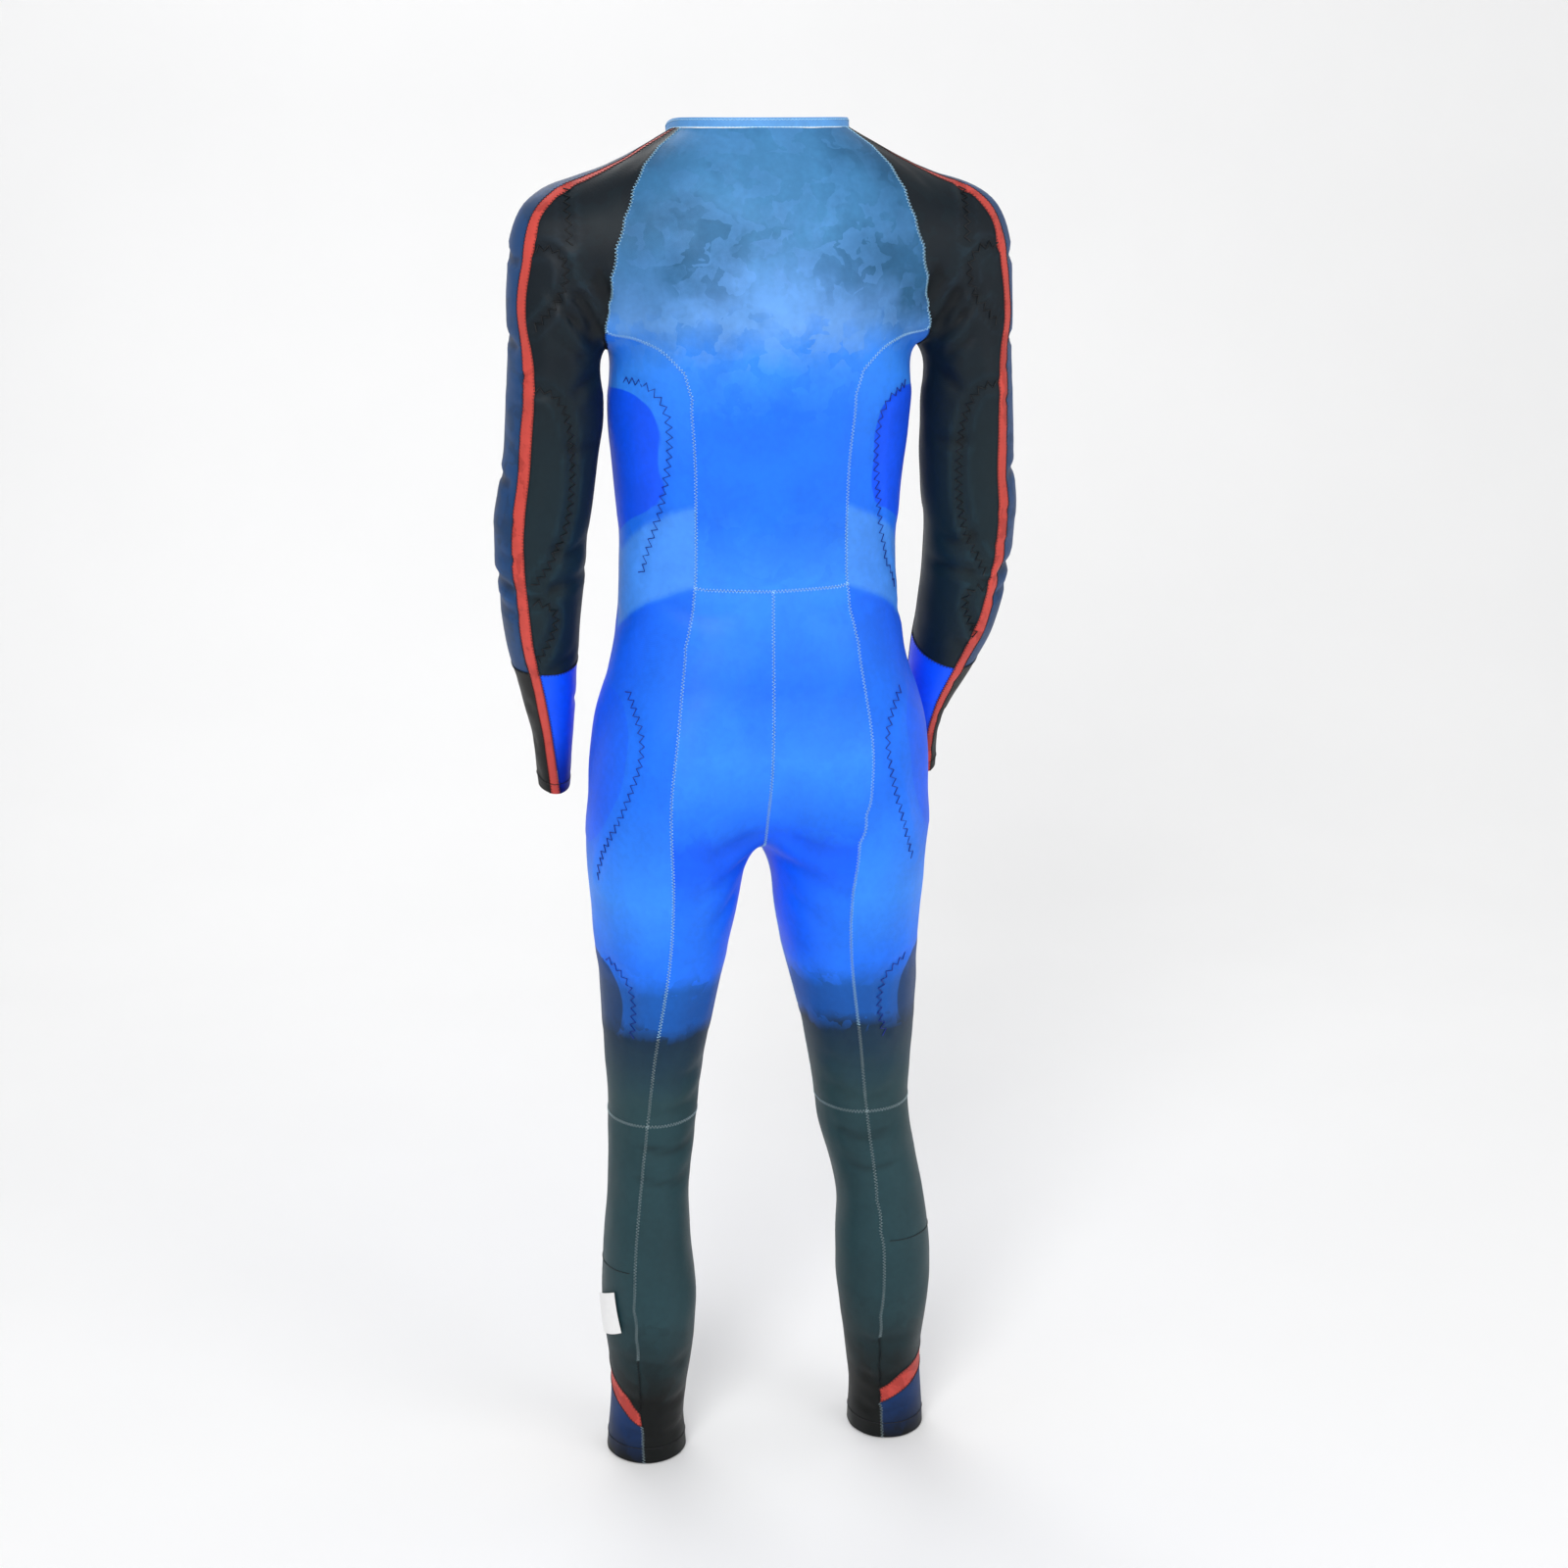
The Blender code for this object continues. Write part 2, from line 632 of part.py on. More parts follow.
def crotch_path(facing, top, top_half, steps=40):
    """The centre seam at the back (1) or front (-1): down to the hip, then round under to the crotch."""
    heights = np.linspace(top, HIP_PIVOT, steps)
    centre = table_at(CENTRE_SEAM, heights)
    starts = np.stack([centre + top_half, np.full(steps, MIDDLE_FORE), heights], -1)
    down = cast(body_form, starts, np.tile([0.0, float(facing), 0.0], (steps, 1)))
    turn = np.radians(np.linspace(0, 90, steps))
    rise = HIP_PIVOT - np.sin(turn) * CROTCH_DEPTH
    starts = np.stack([table_at(CENTRE_SEAM, rise), 0 * turn + MIDDLE_FORE, 0 * turn + HIP_PIVOT], -1)
    ways = np.stack([0 * turn, facing * np.cos(turn), -np.sin(turn)], -1)
    under = cast(body_form, starts, ways)
    return np.vstack([down, under[1:]])


def stretched(core, left, right, top, bottom, rounds=EVENING_ROUNDS):
    """A grid of points between four seams, filled straight across and then moved onto the form."""
    across = np.linspace(0, 1, len(top))[None, :, None]
    down = np.linspace(0, 1, len(left))[:, None, None]
    sides = left[:, None] * (1 - across) + right[:, None] * across
    ends = top[None] * (1 - down) + bottom[None] * down
    corners = (left[0] * (1 - across) + right[0] * across) * (1 - down)
    corners = corners + (left[-1] * (1 - across) + right[-1] * across) * down
    grid = sides + ends - corners
    grid = snapped(core.form, grid.reshape(-1, 3), 10).reshape(grid.shape)
    grid[:, 0], grid[:, -1] = left, right
    grid[0], grid[-1] = top, bottom
    return evened(core.form, grid, rounds)


def panel(core, left, right, top, bottom, facing, level_middle=False, rounds=EVENING_ROUNDS):
    """A grid of points between four seams, worked out in distance along the core and angle round it."""
    rows, columns = len(left), len(top)
    edges = [np.stack(core.locate(seam, facing), -1) for seam in (left, right, top, bottom)]
    left_at, right_at, top_at, bottom_at = edges
    across = np.linspace(0, 1, columns)[None, :, None]
    down = np.linspace(0, 1, rows)[:, None, None]
    sides = left_at[:, None] * (1 - across) + right_at[:, None] * across
    ends = top_at[None] * (1 - down) + bottom_at[None] * down
    corners = (left_at[0] * (1 - across) + right_at[0] * across) * (1 - down)
    corners = corners + (left_at[-1] * (1 - across) + right_at[-1] * across) * down
    at = sides + ends - corners
    if level_middle:
        half = columns // 2
        even = np.linspace(at[0, half, 0], at[-1, half, 0], rows)
        weight = np.sin(math.pi * across[0, :, 0]) ** 2
        at[:, :, 0] += (even - at[:, half, 0])[:, None] * weight
    found = core.surface(at[..., 0].ravel(), at[..., 1].ravel()).reshape(rows, columns, 3)
    found[:, 0], found[:, -1] = left, right
    found[0], found[-1] = top, bottom
    return evened(core.form, found, rounds)


def evened(form, grid, rounds):
    """A grid with its inner points moved towards the middle of their neighbours, still on the form."""
    for _ in range(rounds):
        middle = grid[:-2, 1:-1] + grid[2:, 1:-1] + grid[1:-1, :-2] + grid[1:-1, 2:]
        inner = (grid[1:-1, 1:-1] + middle / 4) / 2
        grid[1:-1, 1:-1] = snapped(form, inner.reshape(-1, 3), 2).reshape(inner.shape)
    return grid


def armhole_seam(side, back_end, front_end, steps=ARMHOLE_STEPS):
    """The underarm seam between body and sleeve, from the end of one raglan seam to the other."""
    w = np.linspace(0, 1, steps + 1)[:, None]
    under = 4 * w[:, 0] * (1 - w[:, 0])
    starts = back_end * (1 - w) + front_end * w
    starts[:, 0] += (side * ARMHOLE_SIDE - starts[:, 0]) * under
    starts[:, 2] = ARMHOLE_TOP
    found = cast(body_form, starts, np.tile([0.0, 0.0, -1.0], (steps + 1, 1)))
    found[0], found[-1] = back_end, front_end
    return found


def joined(*stretches):
    """One seam of several that follow each other."""
    return np.vstack([stretches[0]] + [stretch[1:] for stretch in stretches[1:]])


def side_of_stripe(side, half, bottom):
    """One edge of the sleeve stripe, this far back (or forward) of its middle line."""
    rows = between_rows(STRIPE, 6)
    rows = rows[rows[:, 0] < bottom]
    rows = np.vstack([rows, [bottom, np.interp(bottom, rows[:, 0], rows[:, 1])]])
    middle = ARM_CORE[side].surface(rows[:, 0], rows[:, 1])
    radius = np.linalg.norm(middle - ARM_CORE[side].frame(rows[:, 0])[0], axis=1)
    turn = np.degrees(half / radius)
    return ARM_CORE[side].surface(rows[:, 0], rows[:, 1] + turn)


def cut_suit():
    """Every cloth grid by name, its rows down and its columns across."""
    cut = {}
    for side, name in ((LEFT, "left"), (RIGHT, "right")):
        cut.update({f"{key}_{name}": grid for key, grid in cut_side(side).items()})
    left, right = cut.pop("half_left"), cut.pop("half_right")
    neck = neck_points(np.linspace(NECK_RAGLAN_BACK, 90, SEAT_COLUMNS + 1), LEFT)
    mirrored = neck_points(np.linspace(90, NECK_RAGLAN_BACK, SEAT_COLUMNS + 1), RIGHT)
    top = joined(neck, mirrored)
    bottom = joined(left["waist"], right["waist"][::-1])
    cut["back"] = panel(BACK_CORE, left["edge"], right["edge"], top, bottom, 90, True, 0)
    return cut


def cut_side(side):
    """The grids of one side of the suit, and the seams that the back panel shares with it."""
    body, arm = BODY_CORE[side], ARM_CORE[side]
    grids = {}

    neck_angles = np.linspace(NECK_STRIPE_BACK, NECK_RAGLAN_BACK, SLEEVE_BACK_COLUMNS + 1)
    neck_sleeve_back = neck_points(neck_angles, side)
    neck_angles = np.linspace(NECK_STRIPE_FRONT, NECK_RAGLAN_FRONT, SLEEVE_FRONT_COLUMNS + 1)
    neck_sleeve_front = neck_points(neck_angles, side)

    raglan_back = joined(neck_sleeve_back[-1:], arm_seam(side, RAGLAN_BACK))
    raglan_front = joined(neck_sleeve_front[-1:], arm_seam(side, RAGLAN_FRONT))
    armhole = armhole_seam(side, raglan_back[-1], raglan_front[-1])
    raglan_back = spaced(body_form, raglan_back, RAGLAN_ROWS)
    raglan_front = spaced(body_form, raglan_front, RAGLAN_ROWS)
    corners = armhole[:: ARMHOLE_STEPS // SIDE_COLUMNS]

    yoke_back = spaced(body_form, yoke_seam(side, 1, BACK_SEAM, raglan_back[-1]), BODICE_ROWS)
    yoke_front = spaced(body_form, yoke_seam(side, -1, FRONT_SEAM, raglan_front[-1]), BODICE_ROWS)
    lower = SEAT_ROWS + THIGH_ROWS
    seat_seam = spaced(body_form, body_seam(side, BACK_SEAM, 1, WAIST, KNEE), lower)
    front_seam = spaced(body_form, body_seam(side, FRONT_SEAM, -1, WAIST, KNEE), lower)
    seat_seam[0], front_seam[0] = yoke_back[-1], yoke_front[-1]

    inseam = inseam_points(side)
    centre_back = spaced(body_form, crotch_path(1, WAIST, 0.0), SEAT_ROWS)
    centre_front = spaced(body_form, crotch_path(-1, WAIST, 0.0), SEAT_ROWS)
    crotch = (centre_back[-1] + centre_front[-1]) / 2
    centre_back[-1] = centre_front[-1] = crotch
    inseam = spaced(body_form, joined(crotch[None], inseam), THIGH_ROWS)

    knee_back = ring(side, KNEE, seat_seam[-1], inseam[-1], SEAT_COLUMNS, 135)
    knee_side = ring(side, KNEE, seat_seam[-1], front_seam[-1], SIDE_COLUMNS, 0)
    knee_front = ring(side, KNEE, inseam[-1], front_seam[-1], FRONT_COLUMNS, 225)

    waist = level_row(side, WAIST, centre_back[0], seat_seam[0], SEAT_COLUMNS)
    grids["seat"] = stretched(
        body, joined(centre_back, inseam), seat_seam, waist, knee_back[::-1]
    )
    side_back, side_front = joined(yoke_back, seat_seam), joined(yoke_front, front_seam)
    grids["side"] = panel(body, side_back, side_front, corners, knee_side, 0, True)

    zip_edge = zip_side(side, yoke_front)
    neck_turn = math.degrees(math.atan2(zip_edge[0, 1] - NECK_FORE, abs(zip_edge[0, 0])))
    neck_front = neck_points(np.linspace(neck_turn, NECK_RAGLAN_FRONT, FRONT_COLUMNS + 1), side)
    zip_edge[0] = neck_front[0]
    down_front = joined(zip_edge, centre_front)
    close_zip(side, down_front)
    front_out = joined(raglan_front, yoke_front, front_seam)
    grids["front"] = stretched(
        body, joined(down_front, inseam), front_out, neck_front, knee_front, FRONT_ROUNDS
    )

    grids.update(cut_calf(side, knee_back, knee_side, knee_front))
    grids.update(cut_sleeve(side, arm, raglan_back, raglan_front, corners,
                            neck_sleeve_back, neck_sleeve_front))
    grids["half"] = {"edge": joined(raglan_back, yoke_back), "waist": waist[::-1]}
    return grids


def inseam_points(side, steps=40):
    """The inner leg seam, from just below the crotch to the knee."""
    rows = LEG_ROWS[side]
    heights = np.linspace(INSEAM[0].height, KNEE, steps)
    out, fore = (np.interp(-heights, -rows[:, 0], rows[:, axis]) for axis in (1, 2))
    starts = np.stack([out, fore, heights], -1)
    turn = np.radians(table_at(INSEAM, heights))
    ways = np.stack([side * np.cos(turn), np.sin(turn), 0 * turn], -1)
    return cast(body_form, starts, ways)


def ring(side, height, start, end, columns, facing):
    """Part of a level ring round a leg, between two of its points."""
    rows = LEG_ROWS[side]
    middle = np.array([np.interp(-height, -rows[:, 0], rows[:, axis]) for axis in (1, 2)])
    off = np.array([start[:2] - middle, end[:2] - middle])
    turn = np.degrees(np.arctan2(off[:, 1], side * off[:, 0]))
    turn = facing + (turn - facing + 180) % 360 - 180
    turn = np.radians(np.linspace(turn[0], turn[1], columns + 1))
    starts = np.tile([middle[0], middle[1], height], (columns + 1, 1))
    ways = np.stack([side * np.cos(turn), np.sin(turn), 0 * turn], -1)
    found = cast(body_form, starts, ways)
    found[0], found[-1] = start, end
    return found


def level_row(side, height, start, end, columns):
    """A level row of the back between two points."""
    out = np.linspace(start[0], end[0], columns + 1)
    starts = np.stack([out, 0 * out + MIDDLE_FORE, 0 * out + height], -1)
    found = cast(body_form, starts, np.tile([0.0, 1.0, 0.0], (columns + 1, 1)))
    found[0], found[-1] = start, end
    return found


def zip_side(side, yoke, steps=60):
    """One edge of the zip tape, from the neckline to the waist. Its rows go partly by the yoke seam's."""
    out = side * ZIP_HALF
    heights = np.linspace(neck_height(ZIP_TURN), WAIST, steps)
    starts = np.stack([0 * heights + out, 0 * heights + MIDDLE_FORE, heights], -1)
    found = cast(body_form, starts, np.tile([0.0, -1.0, 0.0], (steps, 1)))
    edge = spaced(body_form, found, RAGLAN_ROWS + BODICE_ROWS)
    even = np.linspace(0, 1, BODICE_ROWS + 1)
    fallen = (yoke[:, 2] - yoke[0, 2]) / (yoke[-1, 2] - yoke[0, 2])
    lower = edge[RAGLAN_ROWS:].copy()
    for axis in range(3):
        edge[RAGLAN_ROWS:, axis] = np.interp((even + fallen) / 2, even, lower[:, axis])
    return edge


def close_zip(side, edge):
    """Moves a front edge out to the tape above the zip's end, and to its point there."""
    above = np.flatnonzero(edge[:, 2] > ZIP_END)
    above = above[above < RAGLAN_ROWS + BODICE_ROWS + SEAT_ROWS]
    lower = above[above > RAGLAN_ROWS + BODICE_ROWS]
    edge[RAGLAN_ROWS + BODICE_ROWS, 0] = side * ZIP_HALF
    centre = table_at(CENTRE_SEAM, edge[lower, 2])
    edge[lower, 0] = centre + side * ZIP_HALF
    edge[above[-1] + 1, 0] += side * ZIP_POINT
    edge[1:above[-1] + 2] = snapped(body_form, edge[1:above[-1] + 2])


def cut_calf(side, knee_back, knee_side, knee_front):
    """The pieces below the knee seam: inner and outer calf, ankle stripe and ankle patch."""
    back = body_seam(side, CALF_BACK_SEAM, 1, KNEE, HEM_HEIGHT)
    front = body_seam(side, CALF_FRONT_SEAM, -1, KNEE, HEM_HEIGHT)
    back[0], front[0] = knee_back[0], knee_front[-1]
    back = stretches(back, CALF_STOPS_BACK)
    front = stretches(front, CALF_STOPS_FRONT)
    hem_inner = ring(side, HEM_HEIGHT, back[-1], front[-1], SEAT_COLUMNS + FRONT_COLUMNS, 180)
    hem_outer = ring(side, HEM_HEIGHT, back[-1], front[-1], SIDE_COLUMNS, 0)
    core = BODY_CORE[side]
    inner = panel(core, back, front, joined(knee_back, knee_front), hem_inner, 180)
    outer = panel(core, back, front, knee_side, hem_outer, 0)
    first, second = CALF_ROWS, CALF_ROWS + 1
    return {
        "calf_inner": inner,
        "calf_outer": outer[: first + 1],
        "ankle_stripe": outer[first : second + 1],
        "ankle_patch": outer[second:],
    }


def stretches(seam, stops):
    """A calf seam in steps: the calf rows, the ankle stripe, then the ankle rows."""
    top, bottom = stops
    heights = np.concatenate([
        np.linspace(KNEE, top, CALF_ROWS + 1),
        np.linspace(bottom, HEM_HEIGHT, ANKLE_ROWS + 1),
    ])
    order = np.argsort(seam[:, 2])
    even = np.stack([np.interp(heights, seam[order, 2], seam[order, axis]) for axis in range(3)], -1)
    even[1:-1] = snapped(body_form, even[1:-1])
    return even


def cut_sleeve(side, arm, raglan_back, raglan_front, corners, neck_back, neck_front):
    """The pieces of one sleeve: back, front, stripe, wrist wedge and cuff."""
    cuff = CUFF_ALONG[side]
    wrist = WRIST_ALONG[side]
    back_edge = joined(neck_back[:1], side_of_stripe(side, STRIPE_HALF, cuff))
    front_edge = joined(neck_front[:1], side_of_stripe(side, -STRIPE_HALF, cuff))
    under = joined(corners[ARMHOLE_ROWS][None], arm_seam(side, UNDERARM_SEAM, cuff))
    upper_rows = RAGLAN_ROWS + ARMHOLE_ROWS + ARM_ROWS_DOWN
    back_edge = two_stretches(arm, back_edge, wrist, upper_rows, WRIST_ROWS)
    front_edge = two_stretches(arm, front_edge, wrist, upper_rows, WRIST_ROWS)
    under = two_stretches(arm, under, wrist + WRIST_RISE, ARM_ROWS_DOWN, WRIST_ROWS)
    back_under = joined(raglan_back, corners[: ARMHOLE_ROWS + 1], under)
    front_under = joined(raglan_front, corners[ARMHOLE_ROWS:][::-1], under)
    cuff_back = cuff_row(arm, back_edge[-1], under[-1], SLEEVE_BACK_COLUMNS, 90)
    cuff_front = cuff_row(arm, front_edge[-1], under[-1], SLEEVE_FRONT_COLUMNS, -90)
    sleeve_back = panel(arm, back_edge, back_under, neck_back, cuff_back, 90)
    sleeve_front = panel(arm, front_edge, front_under, neck_front, cuff_front, -90)
    return {
        "sleeve_back": sleeve_back[: upper_rows + 1],
        "wrist_wedge": sleeve_back[upper_rows:],
        "sleeve_front": sleeve_front[: upper_rows + 1],
        "cuff": sleeve_front[upper_rows:],
        "stripe": np.stack([front_edge, back_edge], 1),
    }


def two_stretches(arm, seam, split, upper, lower):
    """A sleeve seam in equal steps above and below the wrist seam."""
    along = arm.locate(seam, 90)[0]
    at = int(np.argmin(np.abs(along - split)))
    return joined(
        spaced(sleeve_form, seam[: at + 1], upper), spaced(sleeve_form, seam[at:], lower)
    )


def cuff_row(arm, start, end, columns, facing):
    """The edge of the cuff between two of its points."""
    along, angle = arm.locate(np.array([start, end]), facing)
    w = np.linspace(0, 1, columns + 1)
    row = arm.surface(along[0] + (along[1] - along[0]) * w, angle[0] + (angle[1] - angle[0]) * w)
    row[0], row[-1] = start, end
    return row


def edge_inward(grid):
    """How each edge point leaves its seam: half the gap into the piece, and as much under its neighbour."""
    move = np.zeros_like(grid)
    for axis in (0, 1):
        turned = np.swapaxes(grid, 0, axis)
        shift = np.swapaxes(move, 0, axis)
        for edge, inner in ((0, 1), (-1, -2)):
            runs = np.diff(turned[edge], axis=0)
            runs /= np.linalg.norm(runs, axis=1, keepdims=True)
            along = (np.vstack([runs[:1], runs]) + np.vstack([runs, runs[-1:]])) / 2
            bend = np.linalg.norm(along, axis=1, keepdims=True)
            along /= bend
            into = turned[inner] - turned[edge]
            into -= (into * along).sum(1, keepdims=True) * along
            into /= np.linalg.norm(into, axis=1, keepdims=True)
            shift[edge] += into / np.maximum(bend, LEAST_BEND) * SEAM_GAP / 2
    return move


def pad_rise(points):
    """How far the pads under the cloth lift these points."""
    rise = np.zeros(points.shape[:-1])
    for pad in PADS:
        off = [np.abs(points[..., 0]) - pad.side, points[..., 1] - pad.fore, points[..., 2] - pad.height]
        reach = np.array([pad.half_side, pad.half_fore, pad.half_height])
        far = np.linalg.norm(np.stack(off, -1) / reach, axis=-1)
        level = np.clip((PAD_END - far) / PAD_SLOPE, 0, 1)
        rise = np.maximum(rise, pad.rise * level**2 * (3 - 2 * level))
    return rise


def cloth(name, grid, out, rise):
    """One cloth piece: the grid's points as its outer face, lifted by rise, and a plain inner face."""
    edge = np.zeros(grid.shape[:2] + (1,))
    edge[0], edge[-1], edge[:, 0], edge[:, -1] = 1, 1, 1, 1
    base = grid + edge_inward(grid) - out * edge * SEAM_GAP / 2
    kind = name.removesuffix("_left").removesuffix("_right")
    return wall(name, base + out * rise[..., None], base - out * CLOTH, out, COLOURS[kind])


def wall(name, outer, inner, out, colour):
    """A closed wall between two grids of points. Each square of both is cut along its shorter diagonal."""
    mesh = bmesh.new()
    rows, columns = outer.shape[:2]
    face_out = np.cross(outer[1, 0] - outer[0, 0], outer[0, 1] - outer[0, 0])
    turned = np.dot(face_out, out[0, 0]) < 0
    front = [[mesh.verts.new(point) for point in row] for row in outer]
    back = [[mesh.verts.new(point) for point in row] for row in inner]

    def face(*corners):
        mesh.faces.new(corners if turned else corners[::-1])

    falling = np.linalg.norm(outer[1:, 1:] - outer[:-1, :-1], axis=2)
    rising = np.linalg.norm(outer[1:, :-1] - outer[:-1, 1:], axis=2)
    for i in range(rows - 1):
        for j in range(columns - 1):
            a, b, c, d = (i, j), (i, j + 1), (i + 1, j + 1), (i + 1, j)
            falls = falling[i, j] <= rising[i, j]
            for half in ((a, b, c), (a, c, d)) if falls else ((a, b, d), (b, c, d)):
                face(*(front[row][column] for row, column in half))
                face(*(back[row][column] for row, column in half[::-1]))
    for i in range(rows - 1):
        face(front[i + 1][0], back[i + 1][0], back[i][0], front[i][0])
        face(front[i][-1], back[i][-1], back[i + 1][-1], front[i + 1][-1])
    for j in range(columns - 1):
        face(front[0][j], back[0][j], back[0][j + 1], front[0][j + 1])
        face(front[-1][j + 1], back[-1][j + 1], back[-1][j], front[-1][j])
    return finished(name, mesh, colour)


def form_out(form, grid):
    """Each grid point's unit direction out of the form."""
    return outward(form, grid.reshape(-1, 3), NORMAL_STEP).reshape(grid.shape)


def level_out(points):
    """The level part of the direction out of the body at each point."""
    out = outward(body_form, points)
    out[:, 2] = 0
    return out / np.linalg.norm(out, axis=1, keepdims=True)


def neck_ring(grids):
    """The neckline's points, from the left side of the zip round the back to its right side."""
    halves = []
    for name in ("left", "right"):
        stretches_of_neck = (
            grids[f"front_{name}"][0],
            grids[f"sleeve_front_{name}"][0][::-1],
            grids[f"stripe_{name}"][0],
            grids[f"sleeve_back_{name}"][0][[0, -1]],
        )
        halves.append(joined(*stretches_of_neck))
    return joined(halves[0], grids["back"][0], halves[1][::-1])


def collar(grids):
    """The low stand round the neck opening, open at the zip."""
    neck = neck_ring(grids)
    out = level_out(neck)
    grid = np.stack([neck - out * row.lean + [0, 0, row.rise] for row in COLLAR])
    cloth("collar", grid, np.stack([out] * len(COLLAR)), np.zeros(grid.shape[:2]))


def zip_tape(grids):
    """The two tapes and their teeth in one strip, from the top of the collar to its point in the front."""
    left, right = grids["front_left"][:, 0], grids["front_right"][:, 0]
    count = int((np.linalg.norm(left - right, axis=1) > ZIP_POINT).argmin())
    left, right = left[:count], right[:count]
    middle = (left + right) / 2
    half = (left - right) / 2
    grid = np.stack([middle + half * column.share for column in ZIP_COLUMNS], 1)
    inner = grid[:, 1:-1]
    grid[:, 1:-1] = snapped(body_form, inner.reshape(-1, 3)).reshape(inner.shape)
    out = form_out(body_form, grid)
    top = level_out(grid[0])
    grid = np.vstack([(grid[0] - top * COLLAR[-1].lean + [0, 0, COLLAR[-1].rise])[None], grid])
    out = np.vstack([top[None], out])
    rise = np.tile([column.rise for column in ZIP_COLUMNS], (count + 1, 1))
    rise[-1] = 0
    cloth("zip_tape", grid, out, rise)
    return grid[SLIDER_ROW].mean(0) * [0, 1, 1], out[SLIDER_ROW].mean(0) * [0, 1, 1]


def label(grids):
    """The bare label on the left calf, on top of the cloth."""
    corners = np.array(LABEL).reshape(2, 2, 3)
    w = np.linspace(0, 1, LABEL_STEPS + 1)
    down = corners[0] * (1 - w)[:, None, None] + corners[1] * w[:, None, None]
    grid = down[:, None, 0] * (1 - w)[:, None] + down[:, None, 1] * w[:, None]
    grid = snapped(body_form, grid.reshape(-1, 3)).reshape(grid.shape)
    out = form_out(body_form, grid)
    inner = grid + out * LABEL_LIFT
    wall("label", inner + out * LABEL_THICK, inner, out, COLOURS["label"])


def block(polygons, move):
    """A closed block: flat faces that share their corners, and the same faces moved along."""
    mesh = bmesh.new()
    corners = {}
    for polygon in polygons:
        for point in polygon:
            if point not in corners:
                corners[point] = mesh.verts.new(point)
        mesh.faces.new([corners[point] for point in polygon])
    moved = bmesh.ops.extrude_face_region(mesh, geom=mesh.faces[:])["geom"]
    verts = [item for item in moved if isinstance(item, bmesh.types.BMVert)]
    bmesh.ops.translate(mesh, verts=verts, vec=move)
    bmesh.ops.recalc_face_normals(mesh, faces=mesh.faces[:])
    return mesh


def slider_frame(place, out):
    """The slider's axes in the world: across to the wearer's left, up the zip, and out of the cloth."""
    out = out / np.linalg.norm(out)
    axes = np.column_stack([[1, 0, 0], np.cross(out, [1, 0, 0]), out, place])
    return Matrix([*axes.tolist(), [0, 0, 0, 1]])


def zip_slider(frame):
    """The zip slider: a flat body with a bridge that holds the pull tab."""
    face = [tuple(corner) + (SLIDER_LIFT,) for corner in SLIDER_FACE]
    body = block([face], (0, 0, SLIDER_THICK))
    top = SLIDER_LIFT + SLIDER_THICK
    side = [(-BRIDGE_HALF, corner.up, top + corner.out) for corner in BRIDGE]
    bridge = block([side], (2 * BRIDGE_HALF, 0, 0))
    for mesh in (body, bridge):
        bmesh.ops.transform(mesh, matrix=frame, verts=mesh.verts)
    slider = finished("zip_slider", body, COLOURS["metal"], 0.35, 0.9)
    added = finished("zip_bridge", bridge, COLOURS["metal"])
    join = slider.modifiers.new("bridge", "BOOLEAN")
    join.operation = "UNION"
    join.object = added
    union = bpy.data.meshes.new_from_object(slider.evaluated_get(bpy.context.evaluated_depsgraph_get()))
    slider.modifiers.clear()
    slider.data = union
    bpy.data.objects.remove(added, do_unlink=True)


def pull_tab(frame):
    """The pull tab: a thin plate whose eye goes round the slider's bridge. It turns on its top bar."""
    low = SLIDER_LIFT + SLIDER_THICK + PIN_OUT - TAB_THICK / 2
    faces = []
    for upper, lower in zip(TAB[:-1], TAB[1:]):
        above = (-upper.half, -TAB_HOLE_HALF, TAB_HOLE_HALF, upper.half)
        below = (-lower.half, -TAB_HOLE_HALF, TAB_HOLE_HALF, lower.half)
        for i in range(3):
            if upper.open_below and i == 1:
                continue
            faces.append([
                (below[i], lower.up, low), (below[i + 1], lower.up, low),
                (above[i + 1], upper.up, low), (above[i], upper.up, low),
            ])
    mesh = block(faces, (0, 0, TAB_THICK))
    bmesh.ops.transform(mesh, matrix=frame, verts=mesh.verts)
    finished("pull_tab", mesh, COLOURS["metal"], 0.35, 0.9)


def finished(name, mesh, colour, roughness=0.5, metallic=0.0):
    """The mesh as a named object with its own material."""
    data = bpy.data.meshes.new(name)
    mesh.to_mesh(data)
    mesh.free()
    data.shade_smooth()
    data.set_sharp_from_angle(angle=math.radians(50))
    material = bpy.data.materials.new(name)
    material.use_nodes = True
    shader = material.node_tree.nodes["Principled BSDF"]
    shader.inputs["Base Color"].default_value = (*colour, 1)
    shader.inputs["Roughness"].default_value = roughness
    shader.inputs["Metallic"].default_value = metallic
    data.materials.append(material)
    obj = bpy.data.objects.new(name, data)
    bpy.context.scene.collection.objects.link(obj)
    return obj


def clear_scene():
    for obj in list(bpy.data.objects):
        bpy.data.objects.remove(obj, do_unlink=True)


def main():
    clear_scene()
    grids = cut_suit()
    for name, grid in grids.items():
        kind = name.removesuffix("_left").removesuffix("_right")
        form = sleeve_form if kind in SLEEVE_PIECES else body_form
        cloth(name, grid, form_out(form, grid), pad_rise(grid))
    collar(grids)
    frame = slider_frame(*zip_tape(grids))
    zip_slider(frame)
    pull_tab(frame)
    label(grids)


if __name__ == "__main__":
    main()
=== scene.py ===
"""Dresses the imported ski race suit: soft cloth shells, stitching, zip, label, stage and camera."""

